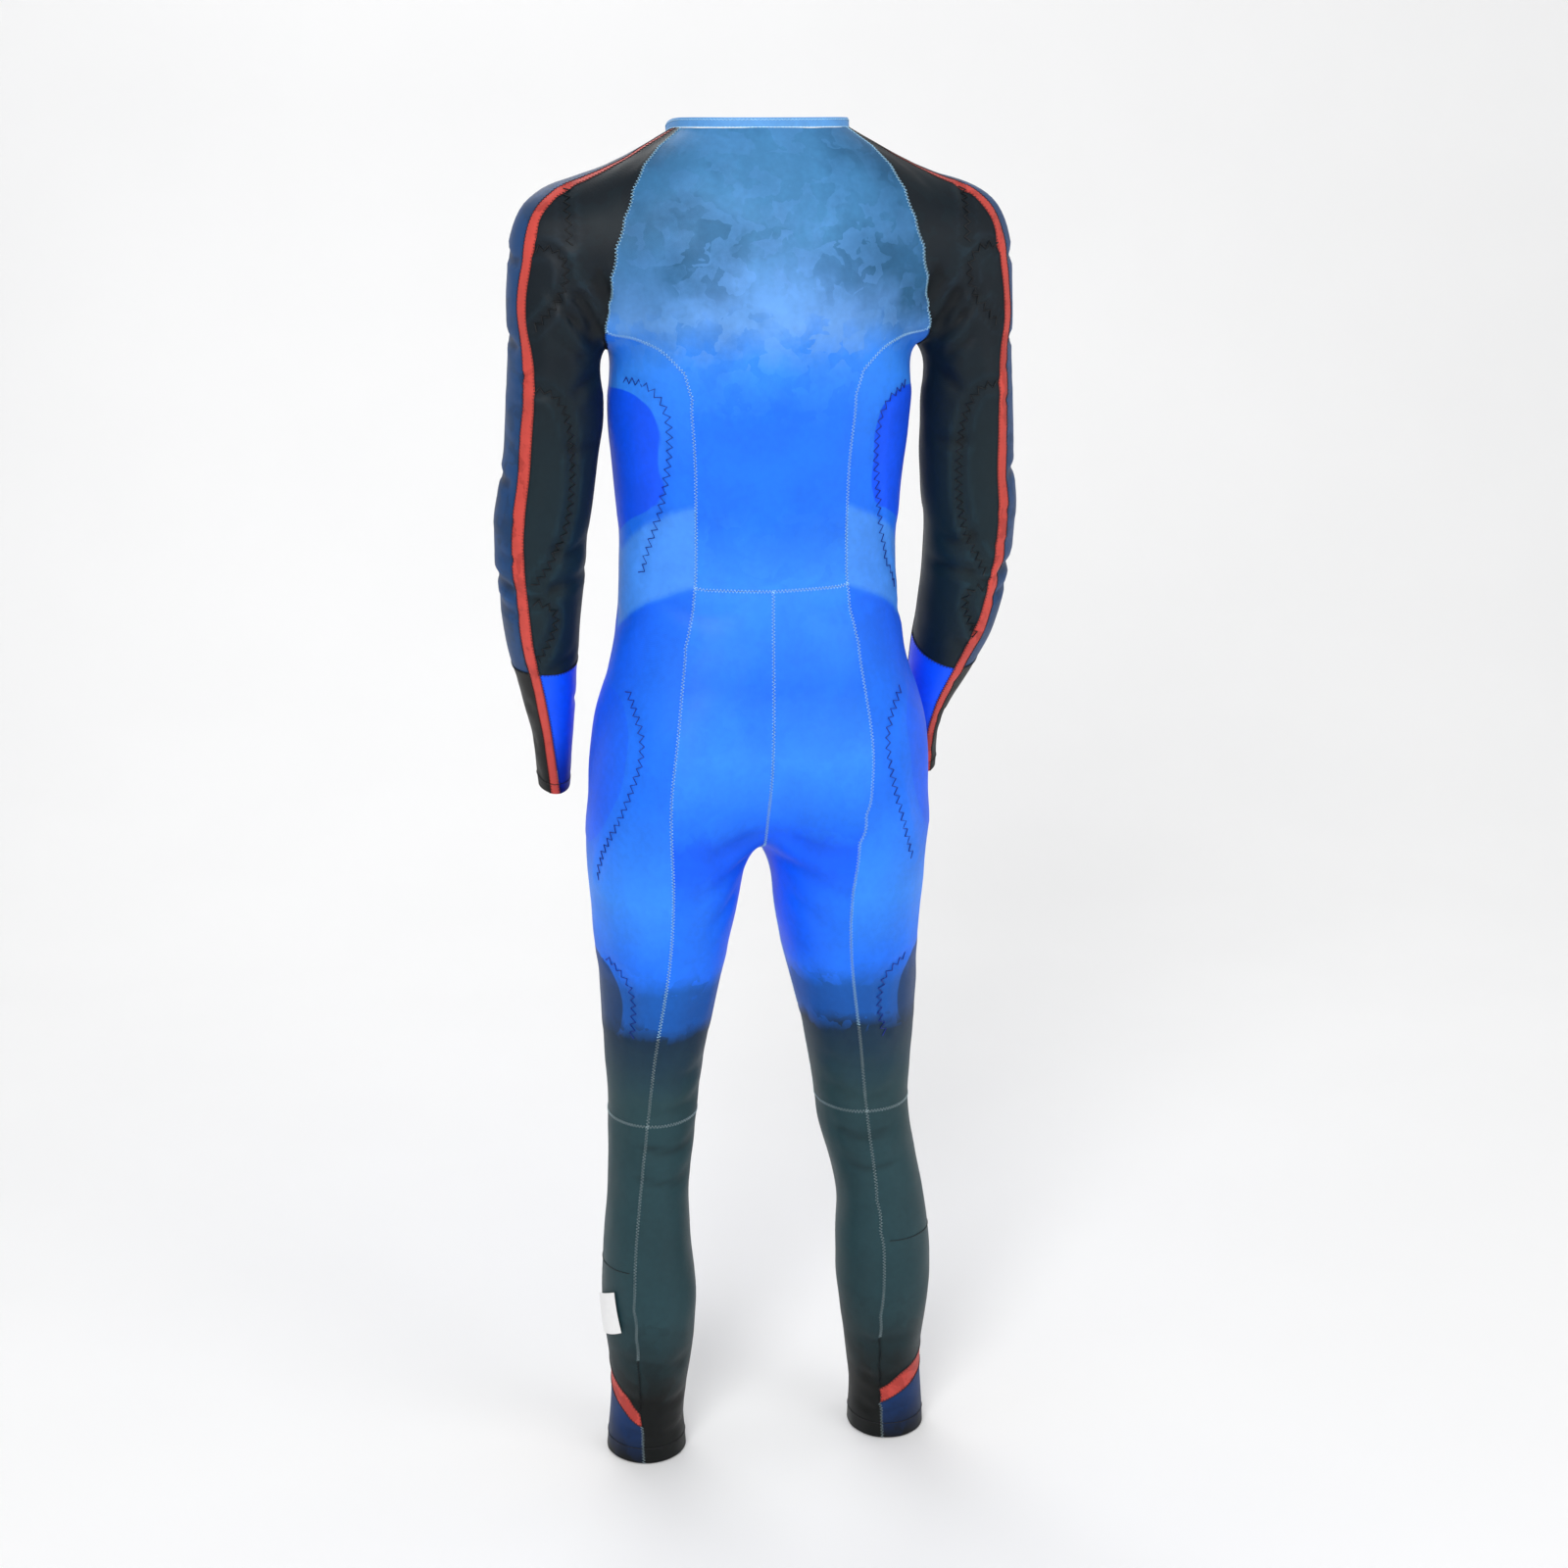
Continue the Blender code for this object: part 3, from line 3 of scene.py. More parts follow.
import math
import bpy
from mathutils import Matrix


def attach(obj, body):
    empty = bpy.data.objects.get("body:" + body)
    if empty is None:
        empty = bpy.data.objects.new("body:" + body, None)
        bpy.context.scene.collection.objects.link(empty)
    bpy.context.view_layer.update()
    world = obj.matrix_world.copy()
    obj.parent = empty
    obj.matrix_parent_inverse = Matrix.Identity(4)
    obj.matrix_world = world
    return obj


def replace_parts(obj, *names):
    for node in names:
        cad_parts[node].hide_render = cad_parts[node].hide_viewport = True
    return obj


bl_info = {
    "name": "Ski race suit",
    "version": (1, 0, 0),
    "blender": (4, 5, 0),
    "location": "View3D > Sidebar > Race suit",
    "description": "Cloth, stitching, zip and stage for a padded ski race suit",
    "category": "Object",
}

import bmesh
import bpy
import numpy as np
from mathutils import Vector, kdtree, noise
from mathutils.bvhtree import BVHTree

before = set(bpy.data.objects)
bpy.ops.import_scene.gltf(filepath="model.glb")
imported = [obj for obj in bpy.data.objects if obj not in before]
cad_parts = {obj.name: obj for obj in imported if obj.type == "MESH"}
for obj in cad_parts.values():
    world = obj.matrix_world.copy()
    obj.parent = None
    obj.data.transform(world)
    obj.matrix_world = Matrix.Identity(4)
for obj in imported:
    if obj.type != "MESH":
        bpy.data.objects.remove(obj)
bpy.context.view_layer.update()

SIDES = ("left", "right")
# A dye is its colours down the height in metres.
TO_KNEE = ((-0.866, "navy"), (-0.898, "navy"), (-0.916, "petrol_leg"), (-0.990, "teal"))
CALF = ((-1.012, "teal"), (-1.220, "teal"), (-1.330, "smoke"))
# Each kind of piece: slot, cut laid flat (width, length, area), how ragged its dye's edges are, and dye.
CLOTH = {
    "back": ("back_cloth", (0.40, 0.46, 0.102), 0.030, (
        (0.00, "steel"), (-0.110, "steel"), (-0.175, "haze"), (-0.220, "sky"), (-0.275, "azure"),
        (-0.370, "azure"), (-0.443, "sky"))),
    # The seat's cobalt band, from -0.702 down to -0.728, is a painted shadow under the buttocks.
    "seat": ("body_cloth", (0.17, 0.66, 0.062), 0.016, (
        (-0.44, "sky"), (-0.540, "azure"), (-0.610, "sky"), (-0.682, "azure"), (-0.702, "cobalt"),
        (-0.728, "cobalt"), (-0.770, "azure"), (-0.825, "azure"), (-0.845, "azure"), *TO_KNEE)),
    "side": ("body_cloth", (0.31, 0.83, 0.190), 0.014, (
        (-0.19, "azure"), (-0.230, "sky"), (-0.340, "azure"), (-0.372, "azure"), (-0.378, "mauve"),
        (-0.450, "mauve"), (-0.456, "azure"), (-0.650, "azure"), (-0.765, "sky"), (-0.835, "azure"),
        *TO_KNEE)),
    "front": ("body_cloth", (0.21, 1.02, 0.106), 0.022, (
        (-0.05, "steel"), (-0.150, "steel"), (-0.210, "sky"), (-0.280, "azure"), (-0.640, "azure"),
        (-0.700, "cobalt"), (-0.790, "azure"), (-0.845, "azure"), *TO_KNEE)),
    "calf_inner": ("calf_cloth", (0.19, 0.39, 0.062), 0.030, CALF),
    "calf_outer": ("calf_cloth", (0.17, 0.33, 0.045), 0.030, CALF),
    "ankle_stripe": ("coral_cloth", (0.16, 0.021, 0.0031), 0.004, ((-1.33, "coral"), (-1.38, "coral"))),
    "ankle_patch": ("navy_cloth", (0.18, 0.055, 0.0090), 0.010, ((-1.35, "deep"), (-1.40, "smoke"))),
    "sleeve_back": ("black_cloth", (0.15, 0.57, 0.050), 0.030, (
        (0.00, "pitch"), (-0.130, "pitch"), (-0.230, "coal"), (-0.340, "slate"), (-0.520, "slate"),
        (-0.580, "coal"))),
    "sleeve_front": ("navy_cloth", (0.26, 0.57, 0.098), 0.020, (
        (0.00, "coal"), (-0.060, "petrol"), (-0.520, "petrol"), (-0.640, "pitch"))),
    "stripe": ("coral_cloth", (0.014, 0.72, 0.0070), 0.004, ((0.00, "coral"), (-0.70, "coral"))),
    "wrist_wedge": ("body_cloth", (0.07, 0.15, 0.0075), 0.008, (
        (-0.520, "royal"), (-0.610, "royal"), (-0.675, "night"))),
    "cuff": ("black_cloth", (0.13, 0.16, 0.0175), 0.004, ((-0.60, "ink"), (-0.72, "ink"))),
    "collar": ("collar_cloth", (0.50, 0.013, 0.0050), 0.004, ((0.02, "band"), (-0.06, "band"))),
    "zip_tape": ("navy_cloth", (0.029, 0.53, 0.0140), 0.004, ((0.02, "coal"), (-0.56, "coal"))),
}
SINGLE = ("back", "collar", "zip_tape")
PANELS = ["back"] + [f"{kind}_{side}" for kind in CLOTH if kind not in SINGLE for side in SIDES]


def shade(red, green, blue):
    """A colour as screens show it, in the linear numbers that shaders read."""
    return tuple((value / 255) ** 2.2 for value in (red, green, blue))


def length(name, description, default):
    return bpy.props.FloatProperty(
        name=name, description=description, default=default, precision=5, unit="LENGTH")


class SuitSizes(bpy.types.PropertyGroup):
    """Sizes that a user would change."""

    cloth: length("Cloth", "Thickness of each cloth shell", 0.0011)
    inset: length("Seam inset", "How far each piece stops short of its seam", 0.00018)
    crease: bpy.props.FloatProperty(
        name="Crease depth", description="Scales the depth of the creases", default=1.45, min=0, max=2)
    thread: length("Thread", "Radius of the seam thread", 0.00042)
    stitch: length("Stitch", "Length of one seam stitch", 0.0017)
    reach: length("Stitch reach", "How far the thread swings to each side of a seam", 0.0016)
    cord: length("Pad thread", "Radius of the thread that outlines the pads", 0.00055)
    tooth: length("Tooth pitch", "Distance from one zip tooth to the next", 0.0024)


def colour(name, description, screen):
    return bpy.props.FloatVectorProperty(
        name=name, description=description, default=shade(*screen), subtype="COLOR", size=3, min=0, max=1)


class SuitColours(bpy.types.PropertyGroup):
    """Colours that a user would change."""

    steel: colour("Steel", "Upper back", (70, 132, 184))
    haze: colour("Haze", "Clouds on the upper back", (100, 156, 230))
    # Dusk also makes the yoke duller towards its sides.
    dusk: colour("Dusk", "Dull clouds on the upper back", (40, 90, 130))
    azure: colour("Azure", "Middle of the back and the seat", (28, 110, 240))
    sky: colour("Sky", "Lightest blue of the seat and yoke", (50, 132, 244))
    # Cobalt also paints the shade between the thighs and the shadow under the seat.
    cobalt: colour("Cobalt", "Hips and inner thighs", (10, 92, 240))
    royal: colour("Royal", "Pads and wrist wedges", (8, 84, 246))
    mauve: colour("Mauve", "Band at the waist's side", (68, 138, 238))
    navy: colour("Navy", "Brushed band above the knee", (14, 84, 168))
    petrol_leg: colour("Dark petrol", "Just below the brushed band", (10, 44, 68))
    teal: colour("Teal", "Lower legs", (36, 62, 68))
    smoke: colour("Smoke", "Ankles", (10, 15, 15))
    slate: colour("Slate", "Lower part of the dark sleeves", (18, 36, 43))
    coal: colour("Coal", "Middle of the dark sleeves", (11, 25, 33))
    pitch: colour("Pitch", "Top of the dark sleeves", (19, 28, 35))
    ink: colour("Ink", "Cuffs", (7, 8, 10))
    petrol: colour("Petrol", "Navy sleeves", (20, 64, 112))
    night: colour("Night", "End of the wrist wedge", (8, 6, 96))
    deep: colour("Deep", "Ankle patch", (12, 50, 98))
    coral: colour("Coral", "Stripes", (194, 72, 64))
    rust: colour("Rust", "Rubbed spots on the stripes", (130, 36, 34))
    band: colour("Band", "Collar", (92, 152, 214))
    light_thread: colour("Light thread", "Seam thread on the blue pieces", (172, 224, 255))
    leg_thread: colour("Leg thread", "Seam thread below the knee", (158, 178, 184))
    dark_thread: colour("Dark thread", "Seam thread on the dark pieces", (8, 14, 20))
    pad_thread: colour("Pad thread", "Thread round the pads", (8, 40, 140))
    metal: colour("Metal", "Zip slider and tab", (150, 154, 160))
    label: colour("Label", "Bare label", (238, 238, 238))
    floor: colour("Floor", "Floor and backdrop", (247, 247, 247))


# Stitched pad outlines in millimetres: side, fore and height.
PAD_LINES = {
    "torso_left": ((141, 38, -241), (122, 66, -241), (110, 75, -256), (101, 77, -274), (100, 73, -302),
                   (102, 66, -331), (109, 55, -371), (120, 44, -405), (128, 36, -432)),
    "torso_right": ((-137, 40, -248), (-118, 64, -257), (-109, 69, -274), (-104, 66, -306), (-105, 59, -336),
                    (-111, 48, -370), (-114, 43, -396), (-126, 30, -432), (-135, 16, -453)),
    "hip_left": ((144, 51, -546), (137, 72, -568), (132, 85, -590), (135, 87, -615), (144, 82, -642),
                 (152, 78, -665), (164, 67, -694), (174, 49, -719), (177, 41, -744)),
    "hip_right": ((-133, 59, -550), (-120, 82, -570), (-114, 95, -596), (-118, 95, -619), (-123, 93, -649),
                  (-131, 90, -673), (-138, 84, -699), (-146, 73, -725)),
    "knee_left": ((169, 38, -830), (159, 52, -837), (151, 60, -848), (145, 61, -862), (143, 58, -888),
                  (145, 52, -914)),
    "knee_right": ((-144, 51, -837), (-124, 66, -846), (-115, 65, -866), (-114, 60, -892), (-124, 50, -924)),
}
SLEEVE_LINES = {
    "upper": ((224, 50, -116), (211, 58, -113), (197, 63, -122), (194, 63, -143), (203, 61, -166),
              (226, 52, -190)),
    "middle": ((227, 49, -249), (209, 56, -250), (195, 52, -274), (190, 43, -318), (194, 35, -377),
               (207, 36, -411), (231, 31, -445)),
    "lower": ((232, 27, -461), (212, 25, -466), (207, 19, -483), (218, 14, -508), (229, 7, -525)),
    "shoulder": ((192, 30, -58), (192, 58, -86), (192, 64, -111)),
}
# Pads whose cloth has its own darker blue, by their back edge: fore and height in millimetres.
DARK_PADS = (
    ((-6, -252), (43, -251), (65, -264), (69, -288), (64, -317), (55, -360), (24, -381), (-6, -397)),
    ((5, -547), (46, -555), (68, -583), (73, -617), (70, -650), (52, -690), (20, -712)),
    ((6, -828), (28, -833), (41, -840), (48, -852), (50, -868), (47, -892), (36, -914), (6, -924)),
)
DARK_PAD_MIDDLE = -6
# Creases in millimetres: depth, half width, then points. All are mirrored to the other side.
CREASES = (
    (4.0, 10, ((188, 63, -150), (176, 58, -172), (162, 44, -202))),
    (3.6, 9, ((172, 64, -138), (162, 61, -160), (151, 53, -190))),
    (-2.2, 7, ((182, 63, -142), (170, 60, -165), (156, 49, -196))),
    (2.2, 6, ((168, 66, -126), (158, 64, -150), (148, 60, -176))),
    (2.0, 6, ((196, 56, -172), (186, 44, -190), (176, 24, -204))),
    (1.8, 5, ((214, 54, -150), (198, 58, -170), (184, 50, -190))),
    (1.6, 5, ((206, 56, -196), (192, 50, -210), (180, 34, -222))),
    (1.3, 4, ((250, 20, -232), (240, 34, -236), (230, 44, -234))),
    (1.2, 4, ((252, 14, -262), (242, 30, -266), (232, 40, -264))),
    (1.3, 4, ((256, 6, -300), (246, 24, -304), (234, 34, -302))),
    (1.2, 4, ((256, 0, -378), (246, 18, -382), (234, 30, -380))),
    (1.4, 5, ((256, -6, -410), (244, 14, -416), (230, 26, -412))),
    (1.8, 6, ((204, 34, -444), (218, 30, -456), (236, 14, -454))),
    (2.4, 7, ((262, -14, -118), (256, 16, -126), (236, 38, -130))),
    (3.0, 7, ((266, -16, -196), (260, 12, -205), (240, 34, -212))),
    (2.8, 7, ((268, -24, -332), (262, 2, -340), (244, 22, -346))),
    (3.4, 8, ((268, -34, -434), (262, -10, -442), (242, 16, -450))),
    (1.8, 6, ((262, -30, -462), (254, -8, -470), (238, 8, -474))),
    (2.4, 7, ((188, -60, -146), (174, -62, -168), (160, -50, -198))),
    (1.9, 7, ((170, -66, -150), (152, -76, -172), (138, -78, -196))),
    (1.8, 8, ((180, 20, -232), (186, 38, -246), (196, 44, -258))),
    (1.7, 7, ((184, 8, -300), (192, 32, -306), (206, 46, -300))),
    (2.0, 8, ((180, -2, -402), (190, 26, -414), (206, 40, -410), (224, 38, -398))),
    (1.8, 7, ((184, -30, -430), (192, 8, -440), (208, 28, -446), (226, 26, -444))),
    (1.9, 8, ((188, -50, -420), (208, -72, -432), (236, -60, -424))),
    (1.6, 7, ((190, -60, -462), (210, -82, -470), (234, -68, -458))),
    (1.4, 7, ((196, -20, -516), (206, -2, -528), (222, -6, -534))),
    (1.3, 6, ((200, -66, -566), (212, -40, -572), (224, -40, -566))),
    (1.3, 6, ((206, -86, -610), (212, -54, -618), (222, -56, -612))),
    (1.1, 6, ((204, -98, -650), (211, -62, -655), (218, -66, -650))),
    (1.7, 12, ((120, 52, -448), (92, 74, -462), (60, 84, -468), (26, 88, -462))),
    (1.3, 10, ((138, 20, -420), (128, 44, -428), (104, 66, -424), (80, 76, -430))),
    (1.2, 10, ((150, -30, -470), (146, 6, -482), (136, 36, -478))),
    (1.5, 12, ((134, -60, -440), (96, -92, -452), (50, -106, -446))),
    (1.5, 12, ((140, -52, -500), (100, -90, -512), (44, -104, -500))),
    (2.6, 11, ((8, 60, -690), (30, 84, -704), (60, 100, -712), (92, 102, -708))),
    (1.9, 10, ((10, 30, -716), (34, 70, -736), (64, 88, -752), (96, 88, -756))),
    (1.6, 9, ((26, 40, -760), (44, 66, -782), (70, 78, -800))),
    (2.4, 11, ((8, -60, -690), (36, -88, -672), (76, -104, -636), (112, -96, -596))),
    (1.9, 11, ((12, -40, -716), (44, -80, -706), (90, -100, -684), (140, -76, -650))),
    (1.5, 10, ((30, -50, -750), (60, -82, -764), (100, -88, -760))),
    (1.6, 9, ((64, 10, -950), (84, 46, -962), (110, 60, -966), (140, 44, -956))),
    (2.1, 9, ((66, 6, -984), (86, 42, -996), (112, 56, -1000), (146, 38, -990))),
    (1.7, 9, ((68, 8, -1030), (90, 42, -1042), (116, 54, -1040), (148, 40, -1032))),
    (1.5, 9, ((74, 20, -1068), (96, 48, -1078), (124, 58, -1074), (156, 46, -1068))),
    (1.4, 10, ((66, -34, -972), (90, -68, -984), (128, -70, -980), (158, -40, -970))),
    (1.3, 10, ((70, -30, -1048), (94, -58, -1056), (130, -56, -1052), (158, -30, -1046))),
    (1.2, 9, ((90, 30, -1276), (108, 58, -1284), (136, 66, -1280), (160, 44, -1272))),
    (1.4, 8, ((92, 20, -1322), (112, 50, -1332), (138, 54, -1328), (160, 36, -1320))),
    (1.1, 7, ((96, 10, -1362), (114, 44, -1370), (140, 50, -1366), (162, 34, -1360))),
    (1.2, 9, ((90, -30, -1300), (116, -44, -1310), (150, -30, -1304))),
    (1.3, 9, ((92, -28, -1346), (118, -42, -1352), (152, -26, -1346))),
)

# All lengths from here on are in metres.
# Points nearer than this are one point.
TINY = 2e-5
# From just above an outer face, less than this share of looks starts inside the suit.
ABOVE_FACE, INSIDE_SHARE, MOST_WALLS = 0.0003, 0.4, 40
# How far apart two pieces' edge points can be at a seam.
SEAM_GAP = 0.00085
# Levels of subdivision for every skin.
FINER = 2
# Rounds of evening for a line that is laid on the cloth, and rounds of laying for a pad's line.
EVENING, PAD_ROUNDS = 8, 4
# How far from its middle a crease or a pad's line can reach.
CREASE_REACH, PAD_REACH = 0.12, 0.16
# The groove under a pad's thread and the swell beside it, and how far off the swell is.
GROOVE_DEPTH, GROOVE_WIDTH = 0.0019, 0.0045
SWELL_HEIGHT, SWELL_WIDTH, SWELL_OFF = 0.0009, 0.005, 0.009
# How far a dark pad stands out and how wide its slope is, and the cloth's own unevenness.
PAD_RISE, PAD_SLOPE, RIPPLE = 0.0006, 0.006, 0.0016
# The pad depth of cloth that has no pad.
NO_PAD = -0.05
# The depth at which the painted shade in a crease is at its darkest.
FOLD_DEPTH = 0.0035

# Stitches: how long each is and how far it swings to each side.
PAD_STITCH = (0.0048, 0.0036)
CALF_STITCH = (0.0024, 0.0005)
HEM_STITCH = (0.0022, 0.0004)
COLLAR_STITCH = (0.0018, 0.0003)
TAPE_STITCH = (0.0022, 0.0003)
# How far a thread lies above the cloth, as a share of its radius.
LIFT, SEAM_LIFT = 0.6, 0.7
# Pad lines farther out than this are on a sleeve.
SLEEVE_FROM = 0.185
# Stitch lines round the outer calf: the leg's middle, the height and the angle where the line starts.
CALF_STITCHES = ((0.127, 0.010, -1.173, 68), (-0.131, 0.0, -1.158, 93))
CALF_RADIUS, CALF_POINTS = 0.05, 24
# How far hem stitches lie above the edge, and the heights that part cuffs and ankles from the rest.
CUFF_HEM, ANKLE_HEM = 0.012, 0.017
CUFFS_BELOW, ANKLES_BELOW = -0.5, -1.2
# Below these heights the calf seam is dark, and the light seams have the leg's thread.
SLIT_TOP = -1.275
BRUSHED_FOOT = -0.912
CALVES = {"calf_inner", "calf_outer"}
THIGHS = {"seat", "side", "front"}
LIGHT_SEAMS = {"back", "ankle_patch"} | THIGHS | CALVES
DARK_KINDS = {"ankle_patch", "sleeve_back", "sleeve_front", "cuff", "zip_tape"} | CALVES

# The collar's top edge lies above this line: fore, then height. Its stitches run a little lower.
NECK_LINE = ((-0.09, 0.05), (-0.047, -0.001))
COLLAR_HEM = 0.0022
# One zip tooth, how far it stands off the middle, and half the width of the tape's middle.
TOOTH = (0.0034, 0.0012, 0.0013)
TOOTH_SWING, TOOTH_EDGE, ZIP_MIDDLE = 0.0005, 0.00022, 0.0045
# How far the tape's stitches lie from the middle, by depth below the neck.
TAPE_LINE = ((0.05, 0.45, 0.55), (0.0062, 0.0062, 0.0030))
LABEL_LEG = (0.127, 0.016, -1.229)
FILM = 0.0004

# Heights between which parts of the dye come in or fade.
YOKE, YOKE_HAZE = (-0.25, -0.13), (-0.05, -0.17)
RIB_PADS, KNEE_PADS = (-0.50, -0.42), (-0.76, -0.80)
WAIST_TILT, HIP_CALM = (-0.60, -0.52), (-0.78, -0.66)
HIP_TOP, HIP_END = (-0.453, -0.459), (-0.76, -0.66)
# CROTCH and THIGH_END are the heights of the painted shade between the thighs.
CROTCH, THIGH_END = (-0.66, -0.73), (-0.86, -0.82)

# The paper sweep: the floor's height, half width, near edge, start and radius of its turn, and top.
FLOOR, PAPER_HALF, PAPER_NEAR, PAPER_TURN, PAPER_RADIUS, PAPER_TOP = -1.4012, 6.0, 5.0, -1.6, 1.4, 6.0
CAMERA_AIM = (-0.022, 0.0, -0.663)
CAMERA_WAY = (0.1344, 0.9565, 0.2588)
CAMERA_FAR = 2.70
LIGHT_AIM = (0.0, 0.0, -0.7)
# Lamps: where each stands, what it points at, its size and its power in watts.
LAMPS = (
    ("key", (1.3, 3.4, 1.5), LIGHT_AIM, 1.8, 92.0),
    ("fill", (-2.4, 2.6, 0.2), LIGHT_AIM, 2.4, 30.0),
    ("front", (0.4, -2.4, 1.6), LIGHT_AIM, 2.2, 30.0),
    ("paper", (-2.6, -0.8, 1.0), (-0.8, -3.2, -0.6), 2.0, 7.0),
)
STUDIO_FILL = 0.50


def part_kind(name):
    return name.removesuffix("_left").removesuffix("_right")


def opened(mesh):
    """A copy of a mesh that can be edited."""
    sheet = bmesh.new()
    sheet.from_mesh(mesh)
    return sheet


def closed(sheet, name):
    """An edited copy as a mesh again."""
    mesh = bpy.data.meshes.new(name)
    sheet.to_mesh(mesh)
    sheet.free()
    return mesh


def in_scene(name, data):
    obj = bpy.data.objects.new(name, data)
    bpy.context.scene.collection.objects.link(obj)
    return obj


def evaluated(holder):
    """The mesh that an object shows with its modifiers or its bevel. The object is removed."""
    graph = bpy.context.evaluated_depsgraph_get()
    mesh = bpy.data.meshes.new_from_object(holder.evaluated_get(graph))
    bpy.data.objects.remove(holder, do_unlink=True)
    return mesh


def merged_node(name):
    """A copy of a CAD node's mesh with its doubled points merged."""
    mesh = opened(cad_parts[name].data)
    bmesh.ops.remove_doubles(mesh, verts=mesh.verts, dist=TINY)
    mesh.normal_update()
    return mesh


LOOKS = [
    Vector((math.cos(turn), math.sin(turn), rise)).normalized()
    for rise in (-0.35, 0.0, 0.35) for turn in (0.2, 1.1, 2.0, 2.9, 3.8, 4.7, 5.6)
]


def hollow_share(tree, point):
    """The share of looks from a point that cross an odd number of cloth walls."""
    odd = 0
    for way in LOOKS:
        hits, start = 0, point
        while hits < MOST_WALLS:
            spot = tree.ray_cast(start, way)[0]
            if spot is None:
                break
            hits += 1
            start = spot + way * TINY
        odd += (hits // 2) % 2
    return odd / len(LOOKS)


def outer_skins(names):
    """Each cloth node's outer face, without its rim and its inner face."""
    nodes = {name: merged_node(name) for name in PANELS + ["collar", "zip_tape"]}
    spots, corners = [], []
    for mesh in nodes.values():
        for face in mesh.faces:
            corners.append([len(spots) + k for k in range(3)])
            spots.extend(vert.co.copy() for vert in face.verts[:3])
    tree = BVHTree.FromPolygons(spots, corners)
    nodes = {name: nodes[name] for name in names}
    for mesh in nodes.values():
        widest = {}
        for face in mesh.faces:
            above = face.calc_center_median() + face.normal * ABOVE_FACE
            face.tag = hollow_share(tree, above) < INSIDE_SHARE
            for vert in face.verts:
                if vert not in widest or face.calc_area() > widest[vert].calc_area():
                    widest[vert] = face
        outer = {vert for vert, face in widest.items() if face.tag}
        rest = [face for face in mesh.faces if not all(vert in outer for vert in face.verts)]
        bmesh.ops.delete(mesh, geom=rest, context="FACES")
    return nodes


def joined_skin(nodes):
    """One surface of several skins: the points that face each other across a seam become one."""
    spots, owner, faces, piece = [], [], [], []
    for index, mesh in enumerate(nodes.values()):
        start = len(spots)
        mesh.verts.index_update()
        for vert in mesh.verts:
            spots.append(vert.co.copy())
            owner.append(index)
        for face in mesh.faces:
            faces.append([start + vert.index for vert in face.verts])
            piece.append(index)
    tree = kdtree.KDTree(len(spots))
    for i, spot in enumerate(spots):
        tree.insert(spot, i)
    tree.balance()
    pairs = []
    for i, spot in enumerate(spots):
        for _, j, far in tree.find_range(spot, SEAM_GAP):
            if i < j and owner[i] != owner[j]:
                pairs.append((far, i, j))
    group = {i: [i] for i in range(len(spots))}
    for _, i, j in sorted(pairs):
        first, second = group[i], group[j]
        if first is second or {owner[k] for k in first} & {owner[k] for k in second}:
            continue
        first.extend(second)
        for k in second:
            group[k] = first
    skin = bmesh.new()
    made = {}
    for members in group.values():
        if id(members) not in made:
            middle = sum((spots[k] for k in members), Vector()) / len(members)
            made[id(members)] = skin.verts.new(middle)
    for corners, index in zip(faces, piece):
        face = skin.faces.new([made[id(group[k])] for k in corners])
        face.material_index = index
    bmesh.ops.join_triangles(
        skin, faces=skin.faces[:], cmp_materials=True, angle_face_threshold=math.pi,
        angle_shape_threshold=math.pi)
    return skin


def subdivided(skin):
    """The skin as a mesh, smoothed and made finer."""
    mesh = closed(skin, "skin")
    holder = in_scene("skin", mesh)
    for _ in range(max(face.material_index for face in mesh.polygons) + 1):
        mesh.materials.append(None)
    finer = holder.modifiers.new("finer", "SUBSURF")
    finer.levels = finer.render_levels = FINER
    finer.boundary_smooth = "PRESERVE_CORNERS"
    finer.use_limit_surface = False
    return evaluated(holder)


def rows_of(items, field):
    """One vector field of a mesh's items, a row for each."""
    flat = np.empty(len(items) * 3)
    items.foreach_get(field, flat)
    return flat.reshape(-1, 3)


def points_of(mesh):
    return rows_of(mesh.vertices, "co")


def rounded_line(points, steps=6):
    """A line of points in millimetres, with more between them on a smooth curve, in metres."""
    points = np.array(points, float) / 1000
    padded = np.vstack([2 * points[0] - points[1], points, 2 * points[-1] - points[-2]])
    fine = []
    for i in range(len(points) - 1):
        before, start, end, after = padded[i : i + 4]
        for step in range(steps):
            w = step / steps
            curve = 2 * start + (end - before) * w + (2 * before - 5 * start + 4 * end - after) * w**2
            fine.append((curve + (3 * start - before - 3 * end + after) * w**3) / 2)
    return np.array(fine + [points[-1]])


def mirrored(line):
    return np.asarray(line, float) * (-1, 1, 1)


def laid(line, tree, rounds=1):
    """A line's points moved onto the surface, and evened out between the rounds."""
    for turn in range(rounds):
        line = np.array([tree.find_nearest(Vector(point))[0] for point in line])
        if turn < rounds - 1:
            for _ in range(EVENING):
                line[1:-1] = (line[:-2] + 2 * line[1:-1] + line[2:]) / 4
    return line


def far_from_line(points, line):
    """How far each point is from a line, and how far along it the nearest place is, from 0 to 1."""
    start, run = line[:-1], np.diff(line, axis=0)
    best = np.full(len(points), 9.0)
    share = np.zeros(len(points))
    for k in range(len(run)):
        w = np.clip(((points - start[k]) @ run[k]) / max((run[k] ** 2).sum(), 1e-12), 0, 1)
        far = np.linalg.norm(points - start[k] - w[:, None] * run[k], axis=1)
        nearer = far < best
        best = np.where(nearer, far, best)
        share = np.where(nearer, (k + w) / len(run), share)
    return best, share


def pad_outline(edge):
    """A dark pad's whole outline from its back edge: fore and height in metres."""
    back = rounded_line([(0, *corner) for corner in edge])[:, 1:]
    front = back[::-1].copy()
    front[:, 0] = 2 * DARK_PAD_MIDDLE / 1000 - front[:, 0]
    return np.vstack([back, front])


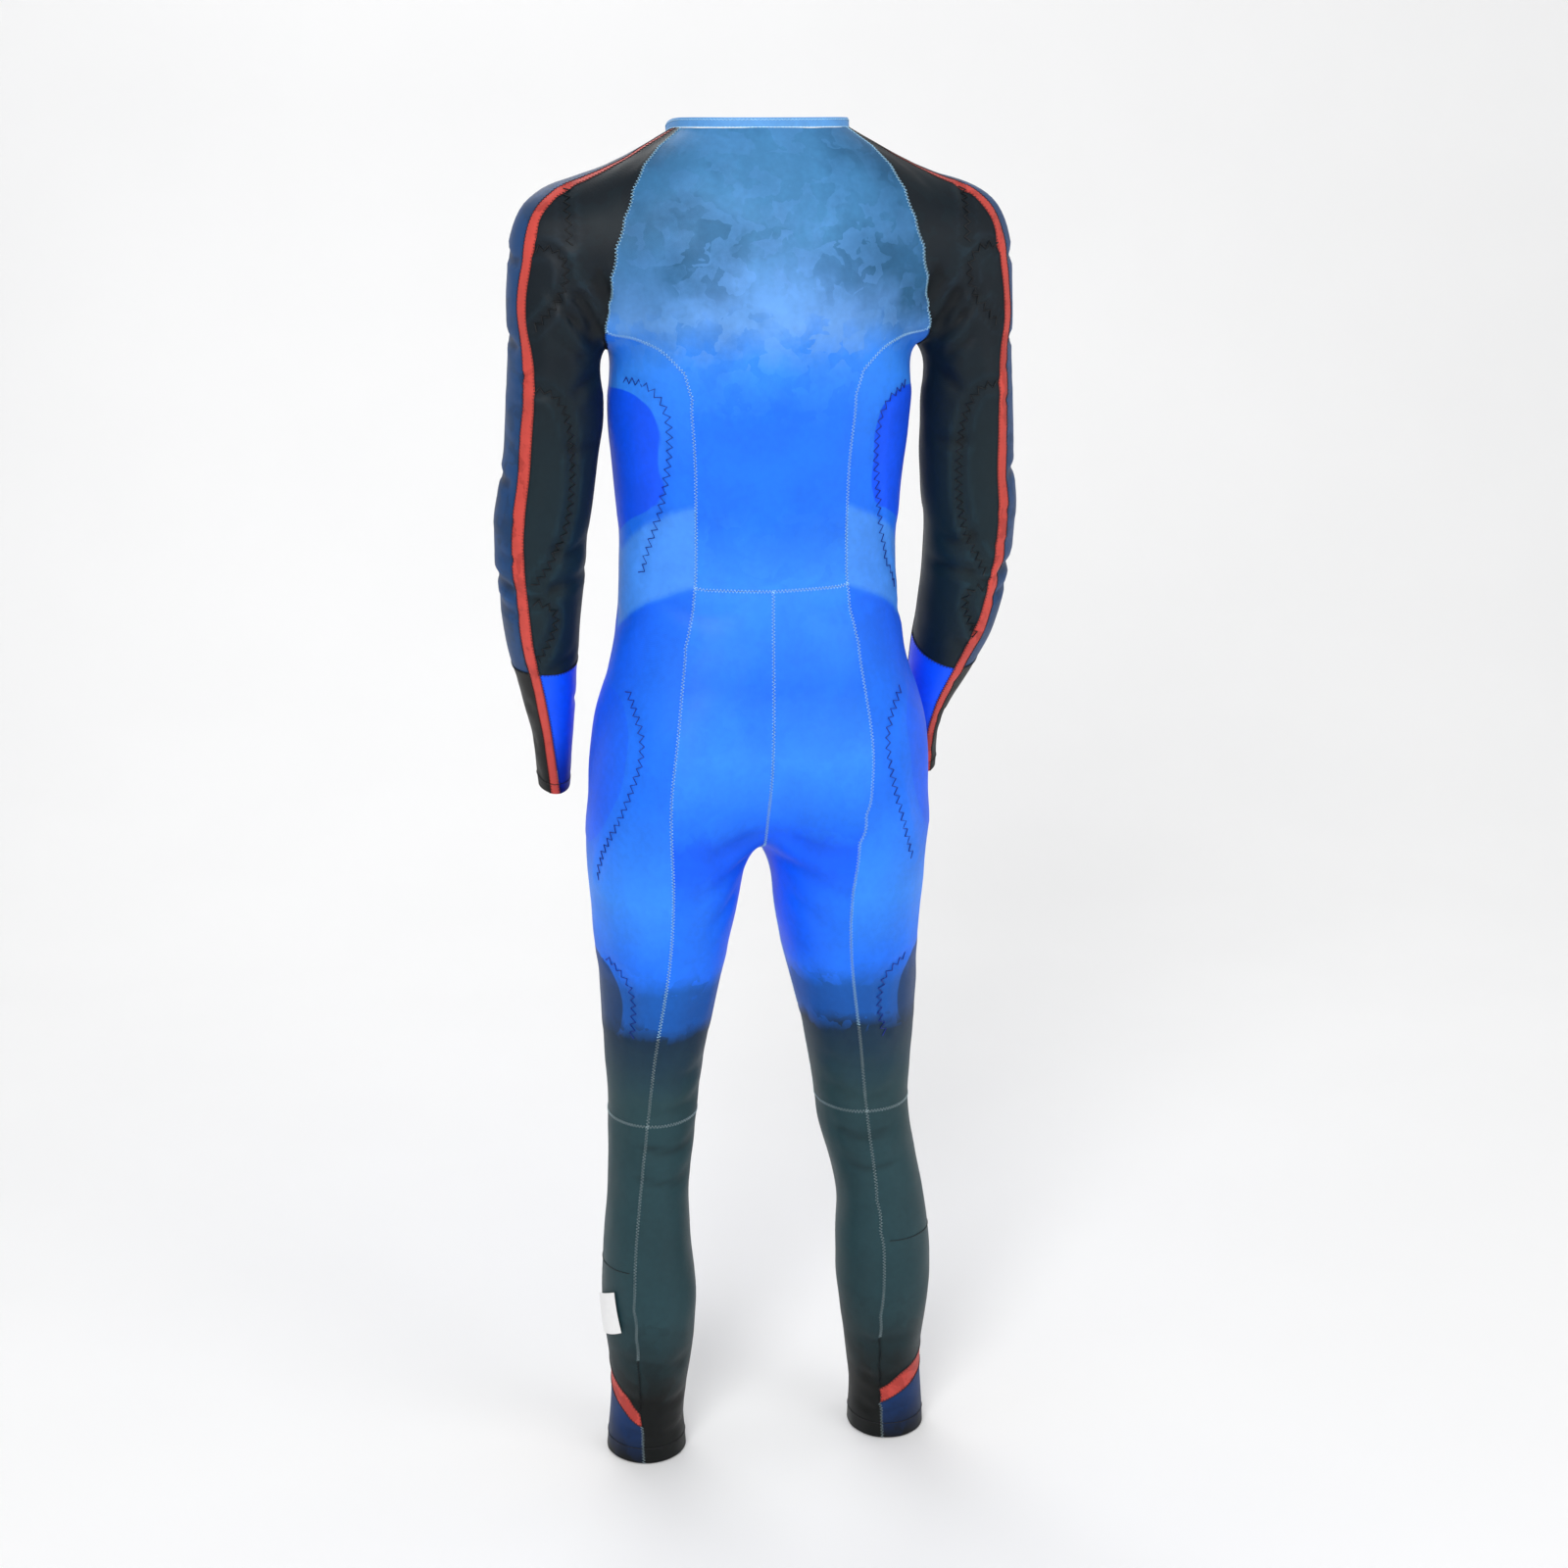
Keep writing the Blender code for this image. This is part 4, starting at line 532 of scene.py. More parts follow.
def pad_depth(points):
    """How far inside a dark pad's outline each point lies, seen from the side. It is below 0 outside."""
    deepest = np.full(len(points), NO_PAD)
    flat = points[:, 1:]
    for edge in DARK_PADS:
        outline = pad_outline(edge)
        closed = np.vstack([outline, outline[:1]])
        far, _ = far_from_line(flat, closed)
        inside = np.zeros(len(flat), bool)
        for (y0, z0), (y1, z1) in zip(closed[:-1], closed[1:]):
            crosses = (z0 > flat[:, 1]) != (z1 > flat[:, 1])
            at = y0 + (flat[:, 1] - z0) / (z1 - z0 if z1 != z0 else 1e-9) * (y1 - y0)
            inside ^= crosses & (flat[:, 0] < at)
        deepest = np.maximum(deepest, np.where(inside, far, -far))
    return deepest


def pad_lines():
    """Every stitched pad outline: those seen at the back, and like ones on the hidden front."""
    lines = [rounded_line(line) for line in PAD_LINES.values()]
    lines += [line * (1, -1, 1) - (0, 0.008, 0) for line in lines]
    for line in SLEEVE_LINES.values():
        seen = rounded_line(line)
        lines += [seen, mirrored(seen)]
    return lines


def relief(points, tree):
    """How far each point stands out for its creases, pads and unevenness, and how deep in a crease or how
    high on a ridge it is, which paints shade and highlight into the cloth's colour.
    """
    out = np.zeros(len(points))
    scale = bpy.context.scene.suit_sizes.crease
    for depth, width, line in CREASES:
        seen = rounded_line(line)
        for crease in (laid(seen, tree), laid(mirrored(seen), tree)):
            near = np.flatnonzero(np.abs(points - crease.mean(0)).max(1) < CREASE_REACH)
            if not len(near):
                continue
            far, share = far_from_line(points[near], crease)
            wide = (far / (width / 1000)) ** 2
            ends = np.clip(np.minimum(share, 1 - share) * 5, 0.12, 1)
            out[near] -= depth / 1000 * scale * (1 - 0.75 * wide) * np.exp(-wide / 1.3) * ends
    for line in pad_lines():
        line = laid(line, tree, PAD_ROUNDS)
        near = np.flatnonzero(np.abs(points - line.mean(0)).max(1) < PAD_REACH)
        far, _ = far_from_line(points[near], line)
        out[near] -= (GROOVE_DEPTH * np.exp(-(far / GROOVE_WIDTH) ** 2)
                      - SWELL_HEIGHT * np.exp(-((far - SWELL_OFF) / SWELL_WIDTH) ** 2))
    # The creases and pad grooves alone, for the painted shade in the hollows and the painted highlight on
    # the ridges.
    painted_crease_shading = np.clip(out / FOLD_DEPTH, -1, 1)
    out += PAD_RISE * np.clip(pad_depth(points) / PAD_SLOPE, -0.2, 1)
    ripple = np.array([
        noise.noise(Vector((x, y, z)) * 26) * 0.55 + noise.noise(Vector((x, y, z * 0.45)) * 60) * 0.3
        for x, y, z in points
    ])
    return out + RIPPLE * ripple, painted_crease_shading


def moved_in(mesh, how_far):
    """Moves a sheet's edge in from its seams, so that it clears its neighbours."""
    inner = {}
    for vert in mesh.verts:
        if vert.is_boundary:
            near = [edge.other_vert(vert).co for edge in vert.link_edges if not edge.is_boundary]
            if near:
                centre = sum(near, Vector()) / len(near)
                inner[vert] = (centre - vert.co).normalized() * how_far
    for vert, move in inner.items():
        vert.co += move


def thickened(sheet, name, thick, angle):
    """A sheet as a closed shell under its outer face, smooth up to an angle in degrees."""
    sheet.normal_update()
    bmesh.ops.solidify(sheet, geom=sheet.faces[:], thickness=thick)
    mesh = closed(sheet, name)
    mesh.shade_smooth()
    mesh.set_sharp_from_angle(angle=math.radians(angle))
    return mesh


def shell(name, sheet):
    """A thin closed shell whose outer face is the sheet, as a finished piece of the suit."""
    sizes = bpy.context.scene.suit_sizes
    moved_in(sheet, sizes.inset)
    mesh = thickened(sheet, name + "_cloth", sizes.cloth, 60)
    depths = pad_depth(points_of(mesh)) if name.startswith("side") else np.full(len(mesh.vertices), NO_PAD)
    mesh.attributes.new("pad_depth", "FLOAT", "POINT").data.foreach_set("value", depths)
    kind = part_kind(name)
    slot, (wide, long, area), _, _ = CLOTH[kind]
    obj = placed(name + "_cloth", mesh, slot)
    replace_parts(obj, name)
    mesh.materials.clear()
    mesh.materials.append(knit_material(kind))


def placed(name, mesh, slot):
    """A mesh as an object that rides on the suit. Its slot is not used."""
    obj = in_scene(name, mesh)
    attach(obj, "suit")
    return obj


def beside_edges(mesh):
    """The pieces of the faces beside each edge."""
    beside = {}
    for face in mesh.polygons:
        for key in face.edge_keys:
            beside.setdefault(key, []).append(face.material_index)
    return beside


def add_edge(ends, edge):
    for a, b in (edge, edge[::-1]):
        ends.setdefault(a, []).append(b)


def walked(ends, left, at):
    """A chain of points from one point along the edges that are left. It uses them up."""
    chain = [at]
    while True:
        onward = [b for b in ends[at] if frozenset((at, b)) in left]
        if not onward:
            return chain
        left.discard(frozenset((at, onward[0])))
        at = onward[0]
        chain.append(at)


def edges_of(ends):
    return {frozenset((a, b)) for a in ends for b in ends[a]}


def seam_chains(mesh):
    """The edges between two pieces, as chains of points by the pair of pieces."""
    links = {}
    for edge, pieces in beside_edges(mesh).items():
        if len(pieces) == 2 and pieces[0] != pieces[1]:
            add_edge(links.setdefault(tuple(sorted(pieces)), {}), edge)
    chains = []
    for pair, ends in links.items():
        left = edges_of(ends)
        while left:
            starts = [a for a in ends if sum(frozenset((a, b)) in left for b in ends[a]) == 1]
            start = min(starts) if starts else min(min(link) for link in left)
            chains.append((pair, walked(ends, left, start)))
    return chains


def hems(mesh):
    """The open edges of the surface, as lines of points."""
    ends = {}
    for edge, pieces in beside_edges(mesh).items():
        if len(pieces) == 1:
            add_edge(ends, edge)
    left = edges_of(ends)
    lines = [walked(ends, left, start) for start in ends]
    return [line for line in lines if len(line) > 1]


def even_steps(points, step):
    """A line in equal steps of about this length."""
    marks = np.concatenate([[0], np.cumsum(np.linalg.norm(np.diff(points, axis=0), axis=1))])
    at = np.linspace(0, marks[-1], max(int(marks[-1] / step), 2) + 1)
    return np.stack([np.interp(at, marks, points[:, axis]) for axis in range(3)], -1)


def zigzag(points, tree, step, reach, lift):
    """A thread's path that swings from side to side of a line on the surface."""
    even = even_steps(points, step)
    run = np.gradient(even, axis=0)
    path = []
    for k, (spot, way) in enumerate(zip(even, run)):
        found, normal = tree.find_nearest(Vector(spot))[:2]
        if found is None:
            continue
        side = normal.cross(Vector(way)).normalized()
        swung, normal = tree.find_nearest(found + side * (reach if k % 2 else -reach))[:2]
        path.append(swung + normal * lift)
    return path


def sewn(line, tree, stitch, radius, rounds=1):
    """The path of a thread that is sewn along a line laid on the surface."""
    return zigzag(laid(line, tree, rounds), tree, *stitch, radius * LIFT)


def thread(name, paths, radius, dyed, slot):
    """Round threads along paths in one of the thread colours, as one piece."""
    curve = bpy.data.curves.new(name, "CURVE")
    curve.dimensions = "3D"
    curve.bevel_depth = radius
    curve.bevel_resolution = 0
    curve.use_fill_caps = True
    for path in paths:
        if len(path) < 3:
            continue
        spline = curve.splines.new("POLY")
        spline.points.add(len(path) - 1)
        spline.points.foreach_set("co", [value for point in path for value in (*point, 1.0)])
    mesh = evaluated(in_scene(name, curve))
    mesh.materials.clear()
    mesh.materials.append(thread_material(dyed))
    mesh.shade_smooth()
    placed(name, mesh, slot)


def surface_tree(mesh):
    return BVHTree.FromPolygons([v.co for v in mesh.vertices], [p.vertices[:] for p in mesh.polygons])


class RACESUIT_OT_cloth(bpy.types.Operator):
    """Dress every cut piece in a thin cloth shell with its creases and pads, and sew the seams"""

    bl_idname = "racesuit.cloth"
    bl_label = "Cloth and seams"

    def execute(self, context):
        sizes = context.scene.suit_sizes
        fine = subdivided(joined_skin(outer_skins(PANELS)))
        points, normals = points_of(fine), rows_of(fine.vertex_normals, "vector")
        stand, painted_crease_shading = relief(points, surface_tree(fine))
        # Stored for the painted shade and painted highlight of the creases in the cloth's colour.
        fine.attributes.new("crease_shading", "FLOAT", "POINT").data.foreach_set("value", painted_crease_shading)
        shaped = points + normals * stand[:, None]
        fine.vertices.foreach_set("co", shaped.ravel())
        fine.update()
        tree = surface_tree(fine)
        whole = opened(fine)
        for index, name in enumerate(PANELS):
            sheet = whole.copy()
            others = [face for face in sheet.faces if face.material_index != index]
            bmesh.ops.delete(sheet, geom=others, context="FACES")
            for face in sheet.faces:
                face.material_index = 0
            shell(name, sheet)
        whole.free()
        self.sew_seams(fine, shaped, tree, sizes)
        self.sew_pads(tree, sizes)
        self.sew_hems(fine, shaped, tree, sizes)
        return {"FINISHED"}

    def sew_seams(self, fine, shaped, tree, sizes):
        """Thread along every seam between two pieces, lighter or darker by the pieces and the height."""
        light, leg, dark = [], [], []
        for (first, second), chain in seam_chains(fine):
            kinds = {part_kind(PANELS[first]), part_kind(PANELS[second])}
            path = zigzag(shaped[chain], tree, sizes.stitch, sizes.reach, sizes.thread * SEAM_LIFT)
            if kinds == CALVES:
                leg.append([spot for spot in path if spot.z > SLIT_TOP])
                dark.append([spot for spot in path if spot.z <= SLIT_TOP])
            elif kinds & CALVES and kinds & THIGHS:
                leg.append(path)
            elif kinds <= LIGHT_SEAMS or "back" in kinds or kinds == {"front", "sleeve_front"}:
                light.append([spot for spot in path if spot.z > BRUSHED_FOOT])
                leg.append([spot for spot in path if spot.z <= BRUSHED_FOOT])
            else:
                dark.append(path)
        thread("seam_thread_light", light, sizes.thread, "light_thread", "body_cloth")
        thread("seam_thread_leg", leg, sizes.thread * 0.85, "leg_thread", "calf_cloth")
        thread("seam_thread_dark", dark, sizes.thread, "dark_thread", "navy_cloth")

    def sew_pads(self, tree, sizes):
        """Zigzags round the pads of the body and of the sleeves."""
        body, sleeves = [], []
        for line in pad_lines():
            path = sewn(line, tree, PAD_STITCH, sizes.cord, PAD_ROUNDS)
            (sleeves if abs(line[0][0]) > SLEEVE_FROM else body).append(path)
        thread("pad_thread", body, sizes.cord, "pad_thread", "body_cloth")
        thread("sleeve_pad_thread", sleeves, sizes.cord * 1.3, "dark_thread", "black_cloth")

    def sew_hems(self, fine, shaped, tree, sizes):
        """Stitch lines round the outer calves, and above the edges of the cuffs and the ankles."""
        edges = []
        for x, y, z, start in CALF_STITCHES:
            turns = np.radians(np.linspace(start, -90, CALF_POINTS))
            out = CALF_RADIUS if x > 0 else -CALF_RADIUS
            ring = np.stack(
                [x + out * np.cos(turns), y + CALF_RADIUS * np.sin(turns), np.full(CALF_POINTS, z)], -1)
            edges.append(sewn(ring, tree, CALF_STITCH, sizes.thread))
        for line in hems(fine):
            around = shaped[line]
            if around[:, 2].max() < CUFFS_BELOW:
                above = ANKLE_HEM if around[:, 2].mean() < ANKLES_BELOW else CUFF_HEM
                edges.append(sewn(even_steps(around + (0, 0, above), 0.002), tree, HEM_STITCH, sizes.thread))
        thread("hem_thread", edges, sizes.thread, "dark_thread", "calf_cloth")


class Nodes:
    """Builds a node tree: add a node with its inputs, and link outputs by passing them as inputs."""

    def __init__(self, tree):
        self.tree = tree

    def fill(self, node, inputs):
        for key, value in inputs.items():
            if isinstance(value, bpy.types.NodeSocket):
                self.tree.links.new(value, node.inputs[key])
            else:
                node.inputs[key].default_value = value
        return node

    def add(self, kind, inputs=None, **settings):
        node = self.tree.nodes.new(kind)
        for key, value in settings.items():
            setattr(node, key, value)
        return self.fill(node, inputs or {})

    def math(self, operation, first, second, clamp=False):
        inputs = {0: first, 1: second}
        return self.add("ShaderNodeMath", inputs, operation=operation, use_clamp=clamp).outputs[0]

    def times(self, first, *others):
        for other in others:
            first = self.math("MULTIPLY", first, other)
        return first

    def mix(self, share, first, second):
        return self.add("ShaderNodeMix", {0: share, 6: first, 7: second}, data_type="RGBA").outputs[2]

    def spread(self, value, low, high, out_low=0.0, out_high=1.0):
        inputs = {"Value": value, "From Min": low, "From Max": high, "To Min": out_low, "To Max": out_high}
        return self.add("ShaderNodeMapRange", inputs, interpolation_type="SMOOTHSTEP").outputs["Result"]

    def place(self):
        return self.add("ShaderNodeTexCoord").outputs["Object"]

    def noise(self, place, scale, detail, rough=0.5, out="Fac"):
        inputs = {"Vector": place, "Scale": scale, "Detail": detail, "Roughness": rough}
        return self.add("ShaderNodeTexNoise", inputs).outputs[out]

    def toned(self, colour, tone):
        return self.add("ShaderNodeHueSaturation", {"Color": colour, "Value": tone}).outputs["Color"]

    def bump(self, height, strength, distance):
        inputs = {"Height": height, "Strength": strength, "Distance": distance}
        return self.add("ShaderNodeBump", inputs).outputs["Normal"]


def shared_group(name, scale, outputs, build):
    """A shader node group with one scale as its input, built once and then shared by the materials."""
    group = bpy.data.node_groups.get(name)
    if group:
        return group
    group = bpy.data.node_groups.new(name, "ShaderNodeTree")
    label, default = scale
    group.interface.new_socket(label, in_out="INPUT", socket_type="NodeSocketFloat").default_value = default
    for socket in outputs:
        group.interface.new_socket(socket, in_out="OUTPUT", socket_type="NodeSocketFloat")
    nodes = Nodes(group)
    given = nodes.add("NodeGroupInput").outputs[label]
    nodes.fill(nodes.add("NodeGroupOutput"), build(nodes, nodes.place(), given))
    return group


def knit_group():
    """The fine ribs of a coated knit: a height for bump, and a tone that varies softly over the cloth."""
    def build(nodes, place, scale):
        waves = {"Vector": place, "Scale": scale, "Distortion": 1.6, "Detail": 2.0, "Detail Scale": 3.0}
        ribs = nodes.add("ShaderNodeTexWave", waves, bands_direction="DIAGONAL").outputs["Fac"]
        loops = nodes.add("ShaderNodeTexVoronoi", {"Vector": place, "Scale": 900.0}).outputs["Distance"]
        soft, fine = nodes.noise(place, 14.0, 4.0), nodes.noise(place, 160.0, 3.0)
        return {"Height": nodes.math("ADD", nodes.times(ribs, 0.5), nodes.times(loops, 0.5)),
                "Tone": nodes.math("ADD", nodes.times(soft, 0.7), nodes.times(fine, 0.3))}
    return shared_group("Coated knit", ("Rib scale", 420.0), ("Height", "Tone"), build)


def brushed_group():
    """Square, overlapping brush marks, used where one dye fades into the next."""
    def build(nodes, place, scale):
        wobble = nodes.noise(place, 30.0, 3.0, out="Color")
        moved = nodes.add("ShaderNodeMix", {0: 0.05, 4: place, 5: wobble}, data_type="VECTOR").outputs[1]
        squares = {"Vector": moved, "Scale": scale, "Randomness": 0.9}
        large = nodes.add("ShaderNodeTexVoronoi", squares, distance="CHEBYCHEV").outputs["Color"]
        level = nodes.add("ShaderNodeSeparateColor", {"Color": large}).outputs["Red"]
        small = nodes.noise(place, 46.0, 5.0, 0.65)
        return {"Marks": nodes.math("ADD", nodes.times(level, 0.45), nodes.times(small, 0.55)),
                "Cloud": nodes.noise(place, 11.0, 4.0)}
    return shared_group("Brush marks", ("Mark scale", 52.0), ("Marks", "Cloud"), build)


def shared_material(name, build):
    """A material whose shader inputs a function gives, built the first time that it is asked for."""
    material = bpy.data.materials.get(name)
    if not material:
        material = bpy.data.materials.new(name)
        material.use_nodes = True
        nodes = Nodes(material.node_tree)
        nodes.fill(material.node_tree.nodes["Principled BSDF"], build(nodes))
    return material


def dye(name):
    return (*getattr(bpy.context.scene.suit_colours, name), 1.0)


class DyeAndPaintedShade(Nodes):
    """The dye of one kind of piece, with its painted shade between the thighs and under the seat, read from
    the place on the cloth and the brush marks.
    """

    def __init__(self, tree, kind):
        super().__init__(tree)
        self.kind = kind
        brush = self.add("ShaderNodeGroup", node_tree=brushed_group())
        self.marks, self.cloud = brush.outputs["Marks"], brush.outputs["Cloud"]
        spot = self.add("ShaderNodeSeparateXYZ", {0: self.place()})
        self.aside, self.fore = (self.math("ABSOLUTE", spot.outputs[axis], 0.0) for axis in "XY")
        self.up = spot.outputs["Z"]
        self.ragged = self.math("ADD", self.up, self.torn())

    def by_height(self, heights, low=0.0, high=1.0):
        return self.spread(self.up, *heights, low, high)

    def torn(self):
        """How far the brush marks move the dye up or down. It also tilts at the side's waist."""
        torn = self.times(self.math("SUBTRACT", self.marks, 0.5), CLOTH[self.kind][2] * 1.6)
        if self.kind == "side":
            lean = self.times(self.math("SUBTRACT", 0.055, self.fore), self.by_height(WAIST_TILT, 0.0, 0.7))
            torn = self.math("ADD", self.times(torn, self.by_height(HIP_CALM, 1.0, 0.1)), lean)
        return torn

    def bands(self):
        """The piece's colours down its height."""
        stops = CLOTH[self.kind][3]
        top, bottom = stops[0][0] + 0.001, stops[-1][0] - 0.001
        share = self.math("DIVIDE", self.math("SUBTRACT", top, self.ragged), top - bottom, clamp=True)
        ramp = self.add("ShaderNodeValToRGB", {"Fac": share})
        elements = ramp.color_ramp.elements
        for k, (height, name) in enumerate(stops):
            at = (top - height) / (top - bottom)
            stop = elements[k] if k < 2 else elements.new(at)
            stop.position = at
            stop.color = dye(name)
        return ramp.outputs["Color"]

    def clouded(self, colour):
        """Light and dull clouds over the shoulders, and the yoke duller towards its sides."""
        high = self.by_height(YOKE)
        patch = self.times(self.spread(self.marks, 0.38, 0.66), high, self.by_height(YOKE_HAZE, 0.15, 0.7))
        colour = self.mix(patch, colour, dye("haze"))
        dull = self.times(self.spread(self.cloud, 0.40, 0.62, 0.10, 0.85), high,
                          self.spread(self.marks, 0.68, 0.34, 0.50, 0.85))
        edge = self.times(self.spread(self.aside, 0.05, 0.13, 0.0, 0.55), high)
        return self.mix(self.math("ADD", dull, edge, clamp=True), colour, dye("dusk"))

    def shade_between_thighs(self, colour):
        """Painted shade between the thighs, in cobalt."""
        share = self.times(self.spread(self.aside, 0.075, 0.02), self.by_height(CROTCH, 0.0, 0.8),
                           self.by_height(THIGH_END))
        return self.mix(share, colour, dye("cobalt"))

    def side(self, colour):
        """Cobalt round the side's hip, and the darker pads."""
        hip = self.times(self.spread(self.fore, 0.085, 0.03),
                         self.spread(self.ragged, *HIP_TOP, 0.0, 0.9), self.by_height(HIP_END))
        colour = self.mix(hip, colour, dye("cobalt"))
        inside = self.add("ShaderNodeAttribute", attribute_name="pad_depth").outputs["Fac"]
        share = self.times(self.spread(inside, -0.0008, 0.0008), self.by_height(RIB_PADS, 0.4),
                           self.by_height(KNEE_PADS, 1.0, 1.9))
        return self.mix(share, colour, self.mix(self.by_height(KNEE_PADS), dye("royal"), dye("petrol_leg")))

    def worn(self, colour, name, low, high, strength):
        """Spots where the brush left another colour."""
        return self.mix(self.times(self.spread(self.marks, low, high), strength), colour, dye(name))

    def colour(self):
        colour = self.bands()
        if self.kind in ("back", "front", "seat", "side"):
            colour = self.clouded(colour)
        if self.kind in ("seat", "front"):
            colour = self.shade_between_thighs(colour)
        if self.kind == "side":
            colour = self.side(colour)
        if self.kind in ("stripe", "ankle_stripe"):
            colour = self.worn(colour, "rust", 0.56, 0.64, 0.4)
        if self.kind in ("sleeve_back", "sleeve_front"):
            colour = self.worn(colour, "slate", 0.46, 0.64, 0.3)
        return colour


def knit_material(kind):
    """The dyed knit of one kind of piece: its dye, painted shade in its creases and painted highlight on
    their ridges, ribs and sheen.
    """
    def build(nodes):
        dark = kind in DARK_KINDS
        # Painted shade darkens the colour in the creases, most on the dark pieces, and painted highlight
        # lightens it on the ridges.
        valley_shade, ridge_highlight = (0.55, 1.9) if dark else (0.94, 1.04)
        dye_and_shade = DyeAndPaintedShade(nodes.tree, kind)
        knit = nodes.add("ShaderNodeGroup", node_tree=knit_group())
        crease_shading = nodes.add("ShaderNodeAttribute", attribute_name="crease_shading").outputs["Fac"]
        # The tone is the knit's random tone times the painted crease shade and highlight.
        tone = nodes.times(nodes.spread(knit.outputs["Tone"], 0.3, 0.7, 0.86, 1.10),
                           nodes.spread(crease_shading, -0.15, -0.9, 1.0, valley_shade),
                           nodes.spread(crease_shading, 0.06, 0.4, 1.0, ridge_highlight))
        return {"Base Color": nodes.toned(dye_and_shade.colour(), tone),
                "Normal": nodes.bump(knit.outputs["Height"], 0.22, 0.0004),
                "Roughness": nodes.spread(dye_and_shade.cloud, 0.3, 0.7, 0.46, 0.58),
                "Sheen Weight": 0.02, "Sheen Roughness": 0.45, "Specular IOR Level": 0.22 if dark else 0.24}
    return shared_material(kind + "_knit", build)


def thread_material(name):
    """Twisted thread in one of the suit's thread colours."""
    def build(nodes):
        twist = nodes.noise(nodes.place(), 700.0, 2.0)
        tone = nodes.spread(twist, 0.3, 0.7, 0.75, 1.15)
        return {"Base Color": nodes.toned(dye(name), tone), "Normal": nodes.bump(twist, 0.4, 0.0002),
                "Roughness": 0.6}
    return shared_material(name, build)


def metal_material():
    """Satin metal with faint scratches, for the slider, the tab and the teeth."""
    def build(nodes):
        stretch = {"Vector": nodes.place(), "Scale": (900.0, 900.0, 60.0)}
        scratch = nodes.noise(nodes.add("ShaderNodeMapping", stretch).outputs["Vector"], 1.0, 3.0)
        tone = nodes.spread(scratch, 0.3, 0.7, 0.82, 1.1)
        return {"Base Color": nodes.toned(dye("metal"), tone),
                "Roughness": nodes.spread(scratch, 0.2, 0.8, 0.24, 0.42), "Metallic": 0.95}
    return shared_material("satin_metal", build)


def label_material():
    """Smooth white transfer film, a little uneven where it follows the knit."""
    def build(nodes):
        knit = nodes.add("ShaderNodeGroup", node_tree=knit_group())
        tone = nodes.spread(knit.outputs["Tone"], 0.3, 0.7, 0.94, 1.02)
        return {"Base Color": nodes.toned(dye("label"), tone),
                "Normal": nodes.bump(knit.outputs["Height"], 0.1, 0.0003), "Roughness": 0.35}
    return shared_material("label_film", build)


def paper_material():
    """Matt backdrop paper, almost even."""
    def build(nodes):
        fleck = nodes.noise(nodes.place(), 3.0, 2.0)
        tone = nodes.spread(fleck, 0.3, 0.7, 0.995, 1.005)
        return {"Base Color": nodes.toned(dye("floor"), tone), "Roughness": 0.9, "Specular IOR Level": 0.1}
    return shared_material("backdrop_paper", build)


class RACESUIT_OT_collar(bpy.types.Operator):
    """Make the collar's soft band, with a line of stitching under its top edge"""

    bl_idname = "racesuit.collar"
    bl_label = "Collar"

    def execute(self, context):
        sizes = context.scene.suit_sizes
        fine = subdivided(joined_skin(outer_skins(["collar"])))
        tree = surface_tree(fine)
        points = points_of(fine)
        rows = []
        for line in hems(fine):
            around = points[line]
            top = around[around[:, 2] > np.interp(around[:, 1], *NECK_LINE)]
            if len(top) > 8:
                under = even_steps(top - (0, 0, COLLAR_HEM), 0.003)
                rows.append(sewn(under, tree, COLLAR_STITCH, sizes.thread))
        shell("collar", opened(fine))
        thread("collar_thread", rows, sizes.thread, "light_thread", "collar_cloth")
        return {"FINISHED"}


class RACESUIT_OT_zip(bpy.types.Operator):
    """Make the zip's tapes, teeth and tape stitching, and give its slider and tab their metal"""

    bl_idname = "racesuit.zip"
    bl_label = "Front zip"

    def execute(self, context):
        sizes = context.scene.suit_sizes
        fine = subdivided(joined_skin(outer_skins(["zip_tape"])))
        tree = surface_tree(fine)
        points = points_of(fine)
        middle = points[np.abs(points[:, 0]) < ZIP_MIDDLE]
        order = middle[np.argsort(-middle[:, 2])]
        heights = np.arange(order[0, 2] - 0.002, order[-1, 2] + 0.012, -sizes.tooth)
        fore = np.interp(-heights, -order[:, 2], order[:, 1])
        teeth = bmesh.new()
        for k, (y, z) in enumerate(zip(fore, heights)):
            found, normal = tree.find_nearest(Vector((0, y - 0.01, z)))[:2]
            aside = Vector((TOOTH_SWING if k % 2 else -TOOTH_SWING, 0, 0))
            turn = Vector((0, -1, 0)).rotation_difference(normal).to_matrix()
            made = bmesh.ops.create_cube(teeth, size=1.0)["verts"]
            bmesh.ops.scale(teeth, verts=made, vec=TOOTH)
            bmesh.ops.rotate(teeth, verts=made, matrix=turn)
            bmesh.ops.translate(teeth, verts=made, vec=found + normal * 0.0002 + aside)
        bmesh.ops.bevel(teeth, geom=teeth.edges[:], offset=TOOTH_EDGE, offset_type="OFFSET", segments=1,
                        profile=0.5, affect="EDGES", material=-1)
        mesh = closed(teeth, "zip_teeth")
        mesh.materials.append(metal_material())
        placed("zip_teeth", mesh, "zip_metal")
        paths = []
        for side in (1, -1):
            line = [(side * np.interp(-z, *TAPE_LINE), y, z) for y, z in zip(fore, heights)]
            paths.append(sewn(line, tree, TAPE_STITCH, sizes.thread))
        shell("zip_tape", opened(fine))
        thread("zip_thread", paths, sizes.thread, "dark_thread", "navy_cloth")
        for name in ("zip_slider", "pull_tab"):
            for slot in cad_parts[name].material_slots:
                slot.material = metal_material()
        return {"FINISHED"}


